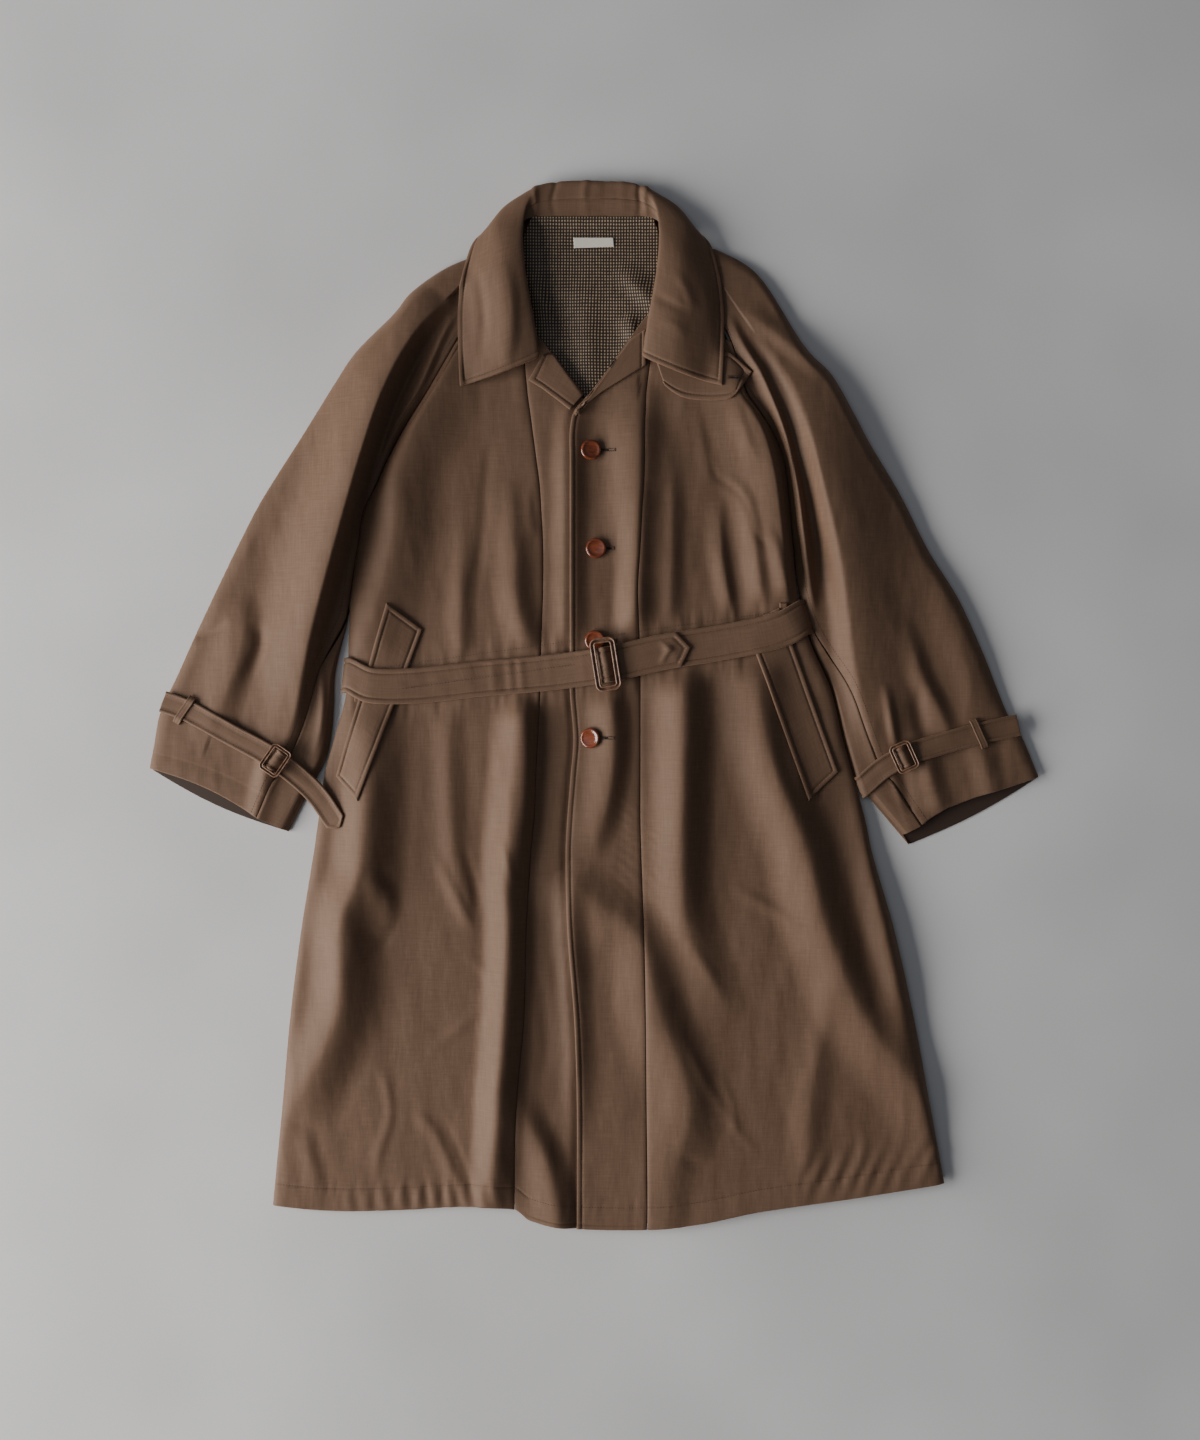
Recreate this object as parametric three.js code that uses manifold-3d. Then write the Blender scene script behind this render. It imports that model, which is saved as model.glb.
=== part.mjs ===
// A raglan motorcycle coat, buttoned and belted, laid on its back on the floor with its sleeves at its sides.
// Millimetres. +X is the wearer's left, +Y runs from the hem to the collar, +Z is up from the floor.
import * as THREE from 'three';
import { mergeVertices } from 'three/addons/utils/BufferGeometryUtils.js';
import Module from 'manifold-3d';

// ---- Driving dimensions -------------------------------------------------------------------------------------
const CLOTH = 1.6;               // coat cloth with its facing or lining, as one wall
const LINING = 1.2;              // the lining's wall
const DOUBLE_CLOTH = 2.4;        // belt, straps, collar and tab, made of two layers
const GAP = 0.3;                 // clearance between pieces that touch
const LAID_GAP = 0.6;            // clearance under a piece that lies on folded cloth
const HIDDEN_GAP = 2.6;          // clearance down in the groove between body and sleeve
const BODY_LIFT = 9;             // top of the flat front above the floor
const SLEEVE_LIFT = 10;          // top of a flat sleeve above the floor
const EDGE_LIFT = 3.6;           // top of a front at the coat's outline, where it meets the back
const EDGE_ROUND = 14;           // how far in from the outline the front is rounded
const LAP_STEP = 2.4;            // the lapping front stands this far up, and the one under it goes this far down
const LAP_RAMP = 8;
const UNDERLAP_EDGE = 42;        // x of the hidden edge of the front that lies under
const BODY_ROWS = 28;
const BACK_ROWS = 26;
const BACK_COLUMNS = 5;
const SLEEVE_ROWS = 20;
const BELT_WIDTH = 41;
const BELT_PRESS = 0.95;         // share of a fold's height that the belt presses flat
const BELT_PRESS_REACH = 50;
const BELT_LIFT = DOUBLE_CLOTH + 2 * GAP;    // how far the belt under the back lifts it off the floor
const COLLAR_LIFT = 5.2;                     // and how far the folded collar does
const LIFT_REACH = 68;           // half the height of the band that the belt lifts off the floor
const LIFT_RAMP = 42;
const COLLAR_LIFT_Y = 436;       // above this the back starts to rise over the folded collar
const STRAP_WIDTH = 25;
const BELT_STIFF = 2;            // rounds of bridging over dips
const STRAP_STIFF = 3;
const WELT_THICKNESS = 2.0;
const LOOP_WIDTH = 9;
const BUCKLE_BAR = 3;            // width of a buckle's bar
const BUTTON_HEIGHT = 4.6;
const WING_LOW = 5;              // a collar section whose edge is higher than this lies on top of the coat
const BUTTON_RADIUS = 11.8;
const COLLAR_MIDDLE = -4.5;      // x of the collar's centre line

const CLOTH_BROWN = 0x6b4f3f;
const LINING_BROWN = 0x54463c;
const LABEL_CREAM = 0xd9cfbb;
const BUCKLE_BROWN = 0x5a3a2a;
const BUTTON_BROWN = 0x8a3f22;

// ---- The body's cut, one row for each level: x of the coat's edges, its two princess seams and the lap edge ---
const LEVELS = [
  { y: 560, rightEdge: -84, rightSeam: -86, lapEdge: -8, leftSeam: 67, leftEdge: 76 },
  { y: 520, rightEdge: -106, rightSeam: -86, lapEdge: -8, leftSeam: 67, leftEdge: 99 },
  { y: 477, rightEdge: -126, rightSeam: -86, lapEdge: -8, leftSeam: 67, leftEdge: 126 },
  { y: 420, rightEdge: -159, rightSeam: -83, lapEdge: -8, leftSeam: 66, leftEdge: 156 },
  { y: 360, rightEdge: -194, rightSeam: -78, lapEdge: -8, leftSeam: 59, leftEdge: 174 },
  { y: 338, rightEdge: -208, rightSeam: -75, lapEdge: -24, leftSeam: 58, leftEdge: 189 },
  { y: 315, rightEdge: -222, rightSeam: -72, lapEdge: -29, leftSeam: 57, leftEdge: 204 },
  { y: 285, rightEdge: -238, rightSeam: -68, lapEdge: -29, leftSeam: 57, leftEdge: 217 },
  { y: 254, rightEdge: -252, rightSeam: -64, lapEdge: -29, leftSeam: 56, leftEdge: 222 },
  { y: 222, rightEdge: -267, rightSeam: -62, lapEdge: -29, leftSeam: 54, leftEdge: 225 },
  { y: 184, rightEdge: -273, rightSeam: -60, lapEdge: -29, leftSeam: 52, leftEdge: 228 },
  { y: 132, rightEdge: -281, rightSeam: -60, lapEdge: -29, leftSeam: 49, leftEdge: 233 },
  { y: 75, rightEdge: -284, rightSeam: -62, lapEdge: -29, leftSeam: 51, leftEdge: 247 },
  { y: 17, rightEdge: -286, rightSeam: -63, lapEdge: -29, leftSeam: 52, leftEdge: 272 },
  { y: -40, rightEdge: -301, rightSeam: -66, lapEdge: -25, leftSeam: 52, leftEdge: 286 },
  { y: -79, rightEdge: -312, rightSeam: -68, lapEdge: -28, leftSeam: 52, leftEdge: 297 },
  { y: -130, rightEdge: -319, rightSeam: -70, lapEdge: -32, leftSeam: 52, leftEdge: 311 },
  { y: -172, rightEdge: -325, rightSeam: -74, lapEdge: -34, leftSeam: 53, leftEdge: 320 },
  { y: -259, rightEdge: -339, rightSeam: -79, lapEdge: -32, leftSeam: 56, leftEdge: 345 },
  { y: -362, rightEdge: -352, rightSeam: -82, lapEdge: -24, leftSeam: 58, leftEdge: 368 },
  { y: -454, rightEdge: -360, rightSeam: -90, lapEdge: -21, leftSeam: 59, leftEdge: 385 },
  { y: -558, rightEdge: -370, rightSeam: -93, lapEdge: -21, leftSeam: 60, leftEdge: 404 },
  { y: -604, rightEdge: -374, rightSeam: -92, lapEdge: -21, leftSeam: 60, leftEdge: 412 },
];

// The hem, and the top edges of the two fronts along the neckline.
const HEM = [
  { x: -374, y: -577 }, { x: -305, y: -583 }, { x: -224, y: -582 }, { x: -144, y: -578 }, { x: -92, y: -582 },
  { x: -75, y: -594 }, { x: -23, y: -603 }, { x: 61, y: -604 }, { x: 121, y: -598 }, { x: 190, y: -584 },
  { x: 293, y: -569 }, { x: 412, y: -550 },
];
const TOP_RIGHT = [
  { x: -159, y: 420 }, { x: -83, y: 436 }, { x: -68, y: 427 }, { x: -47, y: 402 }, { x: -28, y: 374 },
  { x: -8, y: 348 }, { x: 10, y: 358 }, { x: 44, y: 398 },
];
const TOP_LEFT = [{ x: -8, y: 356 }, { x: 21, y: 395 }, { x: 40, y: 422 }, { x: 66, y: 450 }, { x: 156, y: 419 }];

// ---- The largest folds. Each row has a crest path of [x, y, height] and its reach to each side -----------------
const BODY_FOLDS = [
  { name: 'side roll of the chest, right', west: 42, east: 64,
    path: [[-183, 367, 8], [-215, 305, 14], [-222, 236, 15], [-227, 178, 14], [-240, 126, 12], [-256, 60, 8]] },
  { name: 'low chest pleat, right', west: 18, east: 18,
    path: [[-135, 259, 0], [-139, 195, 5], [-147, 132, 5], [-155, 57, 3]] },
  { name: 'chest pleat by the right seam', west: 32, east: 24,
    path: [[-72, 305, 0], [-71, 247, 7], [-69, 178, 9], [-70, 121, 9], [-72, 50, 7]] },
  { name: 'rise to the lap edge', west: 28, east: 26,
    path: [[-25, 330, 5], [-28, 270, 9], [-29, 190, 9], [-29, 121, 8], [-29, 50, 5]] },
  { name: 'chest roll by the left seam', west: 40, east: 40,
    path: [[52, 345, 5], [56, 305, 12], [54, 247, 15], [51, 184, 15], [47, 121, 14], [45, 55, 10]] },
  { name: 'low chest pleat, left', west: 14, east: 16,
    path: [[84, 305, 0], [80, 236, 4], [77, 155, 3], [84, 75, 2]] },
  { name: 'side roll of the chest, left', west: 62, east: 15,
    path: [[176, 356, 8], [195, 316, 14], [208, 270, 16], [215, 224, 16], [220, 167, 15], [225, 98, 10]] },
  { name: 'first chest gather, left', west: 20, east: 14,
    path: [[153, 270, 0], [144, 213, 7], [139, 155, 9], [137, 86, 7]] },
  { name: 'second chest gather, left', west: 22, east: 14,
    path: [[169, 236, 0], [176, 178, 7], [181, 132, 9], [183, 86, 6]] },
  { name: 'side roll of the skirt, right', west: 40, east: 50,
    path: [[-252, 10, 4], [-260, -57, 14], [-270, -132, 20], [-282, -213, 20], [-286, -282, 20], [-292, -351, 17],
      [-314, -420, 12], [-336, -477, 0]] },
  { name: 'knee dent ridge', west: 36, east: 14, path: [[-243, -208, 0], [-238, -230, 6], [-233, -264, 0]] },
  { name: 'low pleat, right', west: 22, east: 16,
    path: [[-164, 10, 3], [-164, -63, 7], [-163, -132, 7], [-152, -195, 6], [-132, -253, 0]] },
  { name: 'main pleat, right', west: 38, east: 46,
    path: [[-80, 20, 14], [-80, -63, 22], [-86, -132, 24], [-100, -184, 24], [-107, -259, 24], [-106, -322, 24],
      [-109, -379, 24], [-117, -437, 24], [-123, -494, 22], [-128, -585, 14]] },
  { name: 'under front beside the lap', west: 24, east: 26,
    path: [[-31, -201, 0], [-30, -270, 8], [-25, -351, 8], [-22, -431, 7], [-21, -512, 0]] },
  { name: 'hem fold of the under front', west: 40, east: 22,
    path: [[-87, -437, 0], [-75, -483, 9], [-57, -518, 12], [-46, -558, 13], [-40, -610, 10]] },
  { name: 'button column roll', west: 38, east: 26,
    path: [[9, 46, 8], [16, 6, 12], [21, -40, 13], [18, -86, 12], [6, -132, 8], [-12, -181, 0]] },
  { name: 'pleat beside the left seam', west: 42, east: 40,
    path: [[100, 63, 16], [101, -17, 22], [100, -109, 23], [99, -178, 22], [105, -247, 16], [123, -299, 8],
      [150, -345, 5], [164, -391, 0]] },
  { name: 'drag fold across the left front', west: 64, east: 40,
    path: [[-40, -187, 0], [-23, -206, 9], [12, -238, 13], [52, -279, 15], [69, -328, 15], [83, -385, 14],
      [99, -443, 14], [95, -494, 11], [79, -552, 8], [75, -615, 6]] },
  { name: 'long fold, left', west: 56, east: 46,
    path: [[186, 52, 12], [193, -17, 17], [204, -75, 19], [220, -121, 21], [233, -178, 22], [247, -236, 21],
      [262, -293, 18], [288, -345, 15], [330, -402, 13], [379, -466, 10], [408, -512, 4]] },
  { name: 'low fold, left', west: 30, east: 22, path: [[243, -328, 0], [253, -374, 6], [256, -420, 6], [245, -477, 0]] },
  { name: 'side roll of the skirt, left', west: 26, east: 26,
    path: [[307, -109, 0], [317, -190, 7], [332, -270, 9], [351, -351, 8], [369, -420, 0]] },
];
const SLEEVE_FOLDS_RIGHT = [
  { name: 'long crest', west: 80, east: 18,
    path: [[-190, 445, 10], [-213, 408, 20], [-231, 370, 28], [-254, 306, 33], [-270, 259, 34], [-286, 208, 34],
      [-301, 144, 33], [-316, 75, 28], [-328, 17, 20], [-339, -34, 12], [-354, -80, 4]] },
  { name: 'elbow ridge', west: 44, east: 34,
    path: [[-405, 132, 0], [-413, 86, 9], [-419, 29, 10], [-424, -29, 5], [-429, -75, 0]] },
  { name: 'cuff ridge', west: 18, east: 24, path: [[-383, -34, 0], [-391, -75, 6], [-403, -130, 5]] },
];
const SLEEVE_FOLDS_LEFT = [
  { name: 'inner roll', west: 10, east: 10,
    path: [[176, 406, 0], [190, 379, 9], [204, 352, 14], [222, 317, 15], [230, 276, 15], [236, 235, 14],
      [240, 190, 12], [243, 138, 0]] },
  { name: 'long crest', west: 17, east: 95,
    path: [[207, 383, 8], [228, 334, 18], [245, 286, 26], [256, 247, 30], [268, 207, 31], [277, 163, 31],
      [285, 112, 29], [293, 63, 24], [305, 17, 18], [319, -23, 10], [332, -57, 3]] },
  { name: 'forearm ridge', west: 24, east: 14, path: [[368, 57, 0], [383, 29, 7], [397, -8, 9], [406, -46, 3]] },
  { name: 'cuff ridge', west: 24, east: 22, path: [[438, -34, 0], [450, -66, 7], [463, -115, 6]] },
];

// ---- The sleeves, one row for each section from the collar to the cuff -----------------------------------------
// Outer and inner edge in plan, and seam: how far across the section the inner-arm seam lies.
const SLEEVE_RIGHT = [
  { outX: -132, outY: 520, inX: -142, inY: 452, seam: 1 },
  { outX: -160, outY: 510, inX: -159, inY: 424, seam: 1 },
  { outX: -184, outY: 497, inX: -168, inY: 408, seam: 1 },
  { outX: -213, outY: 475, inX: -180, inY: 386, seam: 1 },
  { outX: -233, outY: 450, inX: -191, inY: 365, seam: 1 },
  { outX: -275, outY: 408, inX: -210, inY: 334, seam: 1 },
  { outX: -301, outY: 370, inX: -227, inY: 306, seam: 1 },
  { outX: -337, outY: 312, inX: -246, inY: 267, seam: 1 },
  { outX: -369, outY: 262, inX: -268, inY: 218, seam: 1 },
  { outX: -389, outY: 229, inX: -275, inY: 171, seam: 1 },
  { outX: -407, outY: 194, inX: -283, inY: 130, seam: 1 },
  { outX: -428, outY: 151, inX: -297, inY: 92, seam: 0.97 },
  { outX: -460, outY: 83, inX: -305, inY: 40, seam: 0.9 },
  { outX: -482, outY: 34, inX: -307, inY: 0, seam: 0.86 },
  { outX: -497, outY: 3, inX: -310, inY: -34, seam: 0.83 },
  { outX: -504, outY: -17, inX: -318, inY: -69, seam: 0.8 },
  { outX: -509, outY: -46, inX: -335, inY: -108, seam: 0.78 },
  { outX: -514, outY: -73, inX: -354, inY: -146, seam: 0.78 },
];
const SLEEVE_LEFT = [
  { outX: 126, outY: 528, inX: 136, inY: 464, seam: 1 },
  { outX: 146, outY: 523, inX: 158, inY: 418, seam: 1 },
  { outX: 190, outY: 494, inX: 175, inY: 361, seam: 1 },
  { outX: 241, outY: 415, inX: 199, inY: 322, seam: 1 },
  { outX: 273, outY: 381, inX: 212, inY: 297, seam: 1 },
  { outX: 299, outY: 336, inX: 220, inY: 266, seam: 1 },
  { outX: 317, outY: 302, inX: 224, inY: 236, seam: 1 },
  { outX: 352, outY: 243, inX: 229, inY: 176, seam: 1 },
  { outX: 385, outY: 178, inX: 248, inY: 112, seam: 0.985 },
  { outX: 419, outY: 123, inX: 266, inY: 50, seam: 0.94 },
  { outX: 447, outY: 62, inX: 282, inY: -8, seam: 0.9 },
  { outX: 475, outY: -8, inX: 300, inY: -76, seam: 0.87 },
  { outX: 493, outY: -37, inX: 318, inY: -108, seam: 0.86 },
  { outX: 512, outY: -83, inX: 362, inY: -161, seam: 0.9 },
];
// Columns across a sleeve, closest where its crest and its two edges are.
const SLEEVE_COLUMNS = [0, 0.02, 0.07, 0.18, 0.32, 0.46, 0.58, 0.67, 0.74, 0.8, 0.86, 0.91, 0.96, 1];

// ---- The belt, cuff straps and trims ---------------------------------------------------------------------------
// Centre line of the belt across the fronts, from the wearer's right to left.
const BELT_LINE = [
  { x: -289, y: 34 }, { x: -262, y: 23 }, { x: -210, y: 22 }, { x: -132, y: 30 }, { x: -63, y: 36 }, { x: -7, y: 43 },
  { x: 23, y: 48 }, { x: 75, y: 60 }, { x: 130, y: 69 }, { x: 184, y: 79 }, { x: 217, y: 88 }, { x: 243, y: 101 },
];
// The belt's inner face where it turns down round the coat's sides and under the back.
const BELT_BACK_Y = { right: 34, left: 101 };
const WRAP_SLOPE = { right: -0.1, left: 0.3 };
const LEFT_WRAP = [{ x: 236, z: 15 }, { x: 241.5, z: 12.5 }, { x: 244, z: 8.5 }, { x: 244, z: 5.5 }, { x: 241, z: 2.6 },
  { x: 234, z: 2.5 }];
const RIGHT_WRAP = [{ x: -278, z: 2.5 }, { x: -285.5, z: 2.6 }, { x: -288, z: 5.5 }, { x: -288, z: 8.5 }, { x: -285.5, z: 12 },
  { x: -280, z: 14 }];
const BELT_LOOPS = [{ side: 'left', x: 216, top: 117, low: 62 }, { side: 'right', x: -272, top: 66, low: 8 }];
const BELT_TIP_X = 96;
const BELT_TIP_POINT = 14;
const MAIN_BUCKLE = { x: 12, y: 46.5, turn: 9, width: 27, height: 60, bar: 5, depth: 4.4 };
const STRAP_BUCKLE = { width: 25, height: 35, bar: 3.8, depth: 3.4 };
const STRAPS = [
  { side: 'right', barAt: 148, loopX: -472, loopY: -6, point: 9, wrap: [],
    line: [[-497, 4], [-472, -5], [-420, -33], [-365, -64], [-322, -101], [-298, -134]] },
  { side: 'left', barAt: 138, loopX: 441, loopY: -33, point: 0,
    wrap: [{ out: 4, z: 11 }, { out: 6.5, z: 7 }, { out: 6, z: 2.7 }],
    line: [[487, -23], [441, -33], [400, -44], [355, -60], [330, -71], [310, -82]] },
];
const BUTTONS = [{ x: -5, y: 293 }, { x: 1, y: 180 }, { x: 0, y: 74 }, { x: -5, y: -38 }];
// Corners of the welts: top and bottom of the long inner side, then of the outer side.
const WELTS = [
  { side: 'right', innerTop: [-198, 87], innerEnd: [-271, -110], outerTop: [-239, 117], outerEnd: [-298, -82] },
  { side: 'left', innerTop: [172, 92], innerEnd: [245, -110], outerTop: [212, 112], outerEnd: [280, -77] },
];
// Each lapel row pairs a point of its fold with one of its outer edge.
const LAPELS = [
  { side: 'right', rows: [
    { fold: [-60, 403], edge: [-77, 374] }, { fold: [-48, 405], edge: [-61, 364] },
    { fold: [-30, 380], edge: [-44, 351] }, { fold: [-13, 358], edge: [-29, 339] }] },
  { side: 'left', rows: [
    { fold: [58, 432], edge: [59, 391] }, { fold: [40, 420], edge: [35, 376] }, { fold: [21, 393], edge: [9, 360] },
    { fold: [-3, 358], edge: [-10, 345] }, { fold: [-19, 338], edge: [-23, 332] }] },
];
// The tab's end is hidden under the collar at its first row; the last row is its cut end.
const TAB = [
  { upper: [68, 402], lower: [80, 367] }, { upper: [92, 402], lower: [103, 355] },
  { upper: [125, 403], lower: [130, 350] }, { upper: [154, 403], lower: [152, 350] },
  { upper: [179, 385], lower: [162, 353] },
];

// The collar, one row for each section of its right half; the left half mirrors it about COLLAR_MIDDLE.
// neck: seam to the coat; seam: joins stand and fall; roll: the fold; over: the middle of the fall; edge: its edge.
const COLLAR = [
  { neck: [-66, 407, 11], seam: [-68, 401, 17], roll: [-63, 400, 20.5], over: [-110, 381, 25], edge: [-155, 366, 14] },
  { neck: [-80, 452, 11], seam: [-80, 450, 17], roll: [-71, 452, 25], over: [-118, 434, 29], edge: [-158, 418, 14] },
  { neck: [-89, 496, 13], seam: [-88, 497, 18], roll: [-79, 498, 27], over: [-122, 481, 30], edge: [-157, 464, 14] },
  { neck: [-91, 524, 13.5], seam: [-90, 528, 18], roll: [-82, 530, 26], over: [-120, 520, 28], edge: [-150, 506, 14] },
  { neck: [-88, 545, 13.5], seam: [-86, 552, 18], roll: [-81, 557, 22], over: [-113, 553, 21], edge: [-139, 535, 9] },
  { neck: [-80, 557, 13], seam: [-76, 570, 16.5], roll: [-76, 580, 19], over: [-106, 572, 12], edge: [-117, 546, 1.4] },
  { neck: [-68, 561, 12], seam: [-63, 578, 14.5], roll: [-65, 595, 15], over: [-83, 585, 5.6], edge: [-92, 530, 0.4] },
  { neck: [-46, 561, 11.5], seam: [-44, 581, 13.6], roll: [-47, 601, 12.6], over: [-52, 596, 3.4], edge: [-56, 526, 0.2] },
  { neck: [COLLAR_MIDDLE, 561, 11.5], seam: [COLLAR_MIDDLE, 582, 13.4], roll: [COLLAR_MIDDLE, 603, 12],
    over: [COLLAR_MIDDLE, 599, 3], edge: [COLLAR_MIDDLE, 524, 0.2] },
];

// ---- Small tools -----------------------------------------------------------------------------------------------
const clamp = (value, low, high) => Math.min(high, Math.max(low, value));
const mix = (a, b, t) => a + (b - a) * t;
const smooth = (t) => { const s = clamp(t, 0, 1); return s * s * (3 - 2 * s); };

// A smooth curve through a table's rows: reads column `key` at `at` of column `by`.
function reader(rows, by, key) {
  const sorted = [...rows].sort((a, b) => a[by] - b[by]);
  const at = sorted.map((row) => row[by]);
  const value = sorted.map((row) => row[key]);
  const last = at.length - 1;
  const slope = at.map((_, i) => {
    const a = Math.max(i - 1, 0);
    const b = Math.min(i + 1, last);
    return (value[b] - value[a]) / (at[b] - at[a]);
  });
  return (where) => {
    const w = clamp(where, at[0], at[last]);
    let i = 0;
    while (i < last - 1 && w > at[i + 1]) i += 1;
    const span = at[i + 1] - at[i];
    const t = (w - at[i]) / span;
    const t2 = t * t;
    const t3 = t2 * t;
    return (2 * t3 - 3 * t2 + 1) * value[i] + (t3 - 2 * t2 + t) * span * slope[i]
      + (3 * t2 - 2 * t3) * value[i + 1] + (t3 - t2) * span * slope[i + 1];
  };
}

const level = {};
for (const key of ['rightEdge', 'rightSeam', 'lapEdge', 'leftSeam', 'leftEdge']) level[key] = reader(LEVELS, 'y', key);
const hemY = reader(HEM, 'x', 'y');
const topRightY = reader(TOP_RIGHT, 'x', 'y');
const topLeftY = reader(TOP_LEFT, 'x', 'y');
const beltY = reader(BELT_LINE, 'x', 'y');

// ---- Heights ---------------------------------------------------------------------------------------------------
// Crest paths are smoothed once, then a point's height is the sum of the folds that reach it.
function smoothPath(path, steps = 4) {
  const curve = new THREE.CatmullRomCurve3(path.map((p) => new THREE.Vector3(...p)), false, 'centripetal');
  return curve.getPoints((path.length - 1) * steps);
}

function foldField(folds) {
  const crests = folds.map((fold) => ({ ...fold, points: smoothPath(fold.path) }));
  return (x, y) => {
    let height = 0;
    for (const { points, west, east } of crests) {
      let nearest = Infinity;
      let share = 0;
      let crest = 0;
      for (let i = 0; i < points.length - 1; i += 1) {
        const a = points[i];
        const b = points[i + 1];
        const dx = b.x - a.x;
        const dy = b.y - a.y;
        const t = clamp(((x - a.x) * dx + (y - a.y) * dy) / (dx * dx + dy * dy), 0, 1);
        const away = Math.hypot(x - a.x - dx * t, y - a.y - dy * t);
        if (away < nearest) {
          nearest = away;
          const side = dx * (y - a.y) - dy * (x - a.x) > 0 ? east : west;
          share = away / side;
          crest = mix(a.z, b.z, t);
        }
      }
      if (share < 1) height += crest * (1 + Math.cos(Math.PI * share)) / 2;
    }
    return height;
  };
}

const bodyFolds = foldField(BODY_FOLDS);

// How far the back is lifted where the belt or the folded collar lies under it.
function backLift(x, y) {
  const beltBackY = mix(BELT_BACK_Y.right, BELT_BACK_Y.left, (x + 289) / 532);
  const overBelt = 1 - smooth((Math.abs(y - beltBackY) - LIFT_REACH) / LIFT_RAMP);
  const overCollar = smooth((y - COLLAR_LIFT_Y) / LIFT_RAMP);
  return Math.max(BELT_LIFT * overBelt, COLLAR_LIFT * overCollar);
}

function roundedEdge(distance, round) {
  const t = clamp(1 - distance / round, 0, 1);
  return Math.sqrt(1 - t * t);
}

function bodyHeight(x, y) {
  const press = 1 - BELT_PRESS * Math.exp(-(((y - beltY(x)) / BELT_PRESS_REACH) ** 4));
  const flat = BODY_LIFT + press * bodyFolds(x, y);
  const edge = roundedEdge(x - level.rightEdge(y), EDGE_ROUND) * roundedEdge(level.leftEdge(y) - x, EDGE_ROUND);
  return backLift(x, y) + EDGE_LIFT + (flat - EDGE_LIFT) * edge;
}

const overHeight = (x, y) => bodyHeight(x, y) + LAP_STEP;
const underHeight = (x, y) => bodyHeight(x, y) - LAP_STEP * smooth((x - level.lapEdge(y) + LAP_RAMP) / LAP_RAMP);

// ---- Closed walls from grids of points -------------------------------------------------------------------------
function gridNormals(grid) {
  const rows = grid.length;
  const columns = grid[0].length;
  const a = new THREE.Vector3();
  const b = new THREE.Vector3();
  return grid.map((row, i) => row.map((_, j) => {
    a.subVectors(grid[i][Math.min(j + 1, columns - 1)], grid[i][Math.max(j - 1, 0)]);
    b.subVectors(grid[Math.min(i + 1, rows - 1)][j], grid[Math.max(i - 1, 0)][j]);
    return new THREE.Vector3().crossVectors(b, a).normalize();
  }));
}

// A wall whose faces are the two grids; `outer` is the face that its row and column order turns outwards.
function wallGeometry(outer, inner) {
  const rows = outer.length;
  const columns = outer[0].length;
  const points = [];
  for (const face of [outer, inner]) for (const row of face) for (const p of row) points.push(p.x, p.y, p.z);
  const at = (face, i, j) => face * rows * columns + i * columns + j;
  const index = [];
  const quad = (a, b, c, d) => index.push(a, b, c, a, c, d);
  for (let i = 0; i < rows - 1; i += 1) {
    for (let j = 0; j < columns - 1; j += 1) {
      quad(at(0, i, j), at(0, i + 1, j), at(0, i + 1, j + 1), at(0, i, j + 1));
      quad(at(1, i, j), at(1, i, j + 1), at(1, i + 1, j + 1), at(1, i + 1, j));
    }
  }
  for (let i = 0; i < rows - 1; i += 1) {
    quad(at(0, i, 0), at(1, i, 0), at(1, i + 1, 0), at(0, i + 1, 0));
    quad(at(0, i, columns - 1), at(0, i + 1, columns - 1), at(1, i + 1, columns - 1), at(1, i, columns - 1));
  }
  for (let j = 0; j < columns - 1; j += 1) {
    quad(at(0, 0, j), at(0, 0, j + 1), at(1, 0, j + 1), at(1, 0, j));
    quad(at(0, rows - 1, j), at(1, rows - 1, j), at(1, rows - 1, j + 1), at(0, rows - 1, j + 1));
  }
  const geometry = new THREE.BufferGeometry();
  geometry.setAttribute('position', new THREE.Float32BufferAttribute(points, 3));
  geometry.setIndex(index);
  return geometry;
}

// The upward normal of a height at a place in plan. Pieces that share a seam take it there, so their walls agree.
function fieldNormals(grid, height) {
  const STEP = 1.5;
  return grid.map((row) => row.map(({ x, y }) => new THREE.Vector3(
    height(x - STEP, y) - height(x + STEP, y), height(x, y - STEP) - height(x, y + STEP), 2 * STEP).normalize()));
}

// A wall of even thickness behind an outer face.
function wall(outer, thickness, normals = gridNormals(outer)) {
  const inner = outer.map((row, i) => row.map((p, j) => p.clone().addScaledVector(normals[i][j], -thickness)));
  return wallGeometry(outer, inner);
}

// A wall that grows outwards from the face that it lies on.
function coatOn(inner, thickness) {
  const normals = gridNormals(inner);
  const outer = inner.map((row, i) => row.map((p, j) => p.clone().addScaledVector(normals[i][j], thickness)));
  return wallGeometry(outer, inner);
}

// ---- The bed: what has been laid so far, as heights on a fine grid, for the pieces that lie on top --------------
const BED_CELL = 1;
const BED_HALF = 700;
const BED_SIDE = BED_HALF * 2 / BED_CELL;
const bed = new Float32Array(BED_SIDE * BED_SIDE);

const bedIndex = (x, y) => {
  const i = clamp(Math.round((x + BED_HALF) / BED_CELL), 0, BED_SIDE - 1);
  const j = clamp(Math.round((y + BED_HALF) / BED_CELL), 0, BED_SIDE - 1);
  return j * BED_SIDE + i;
};

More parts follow.
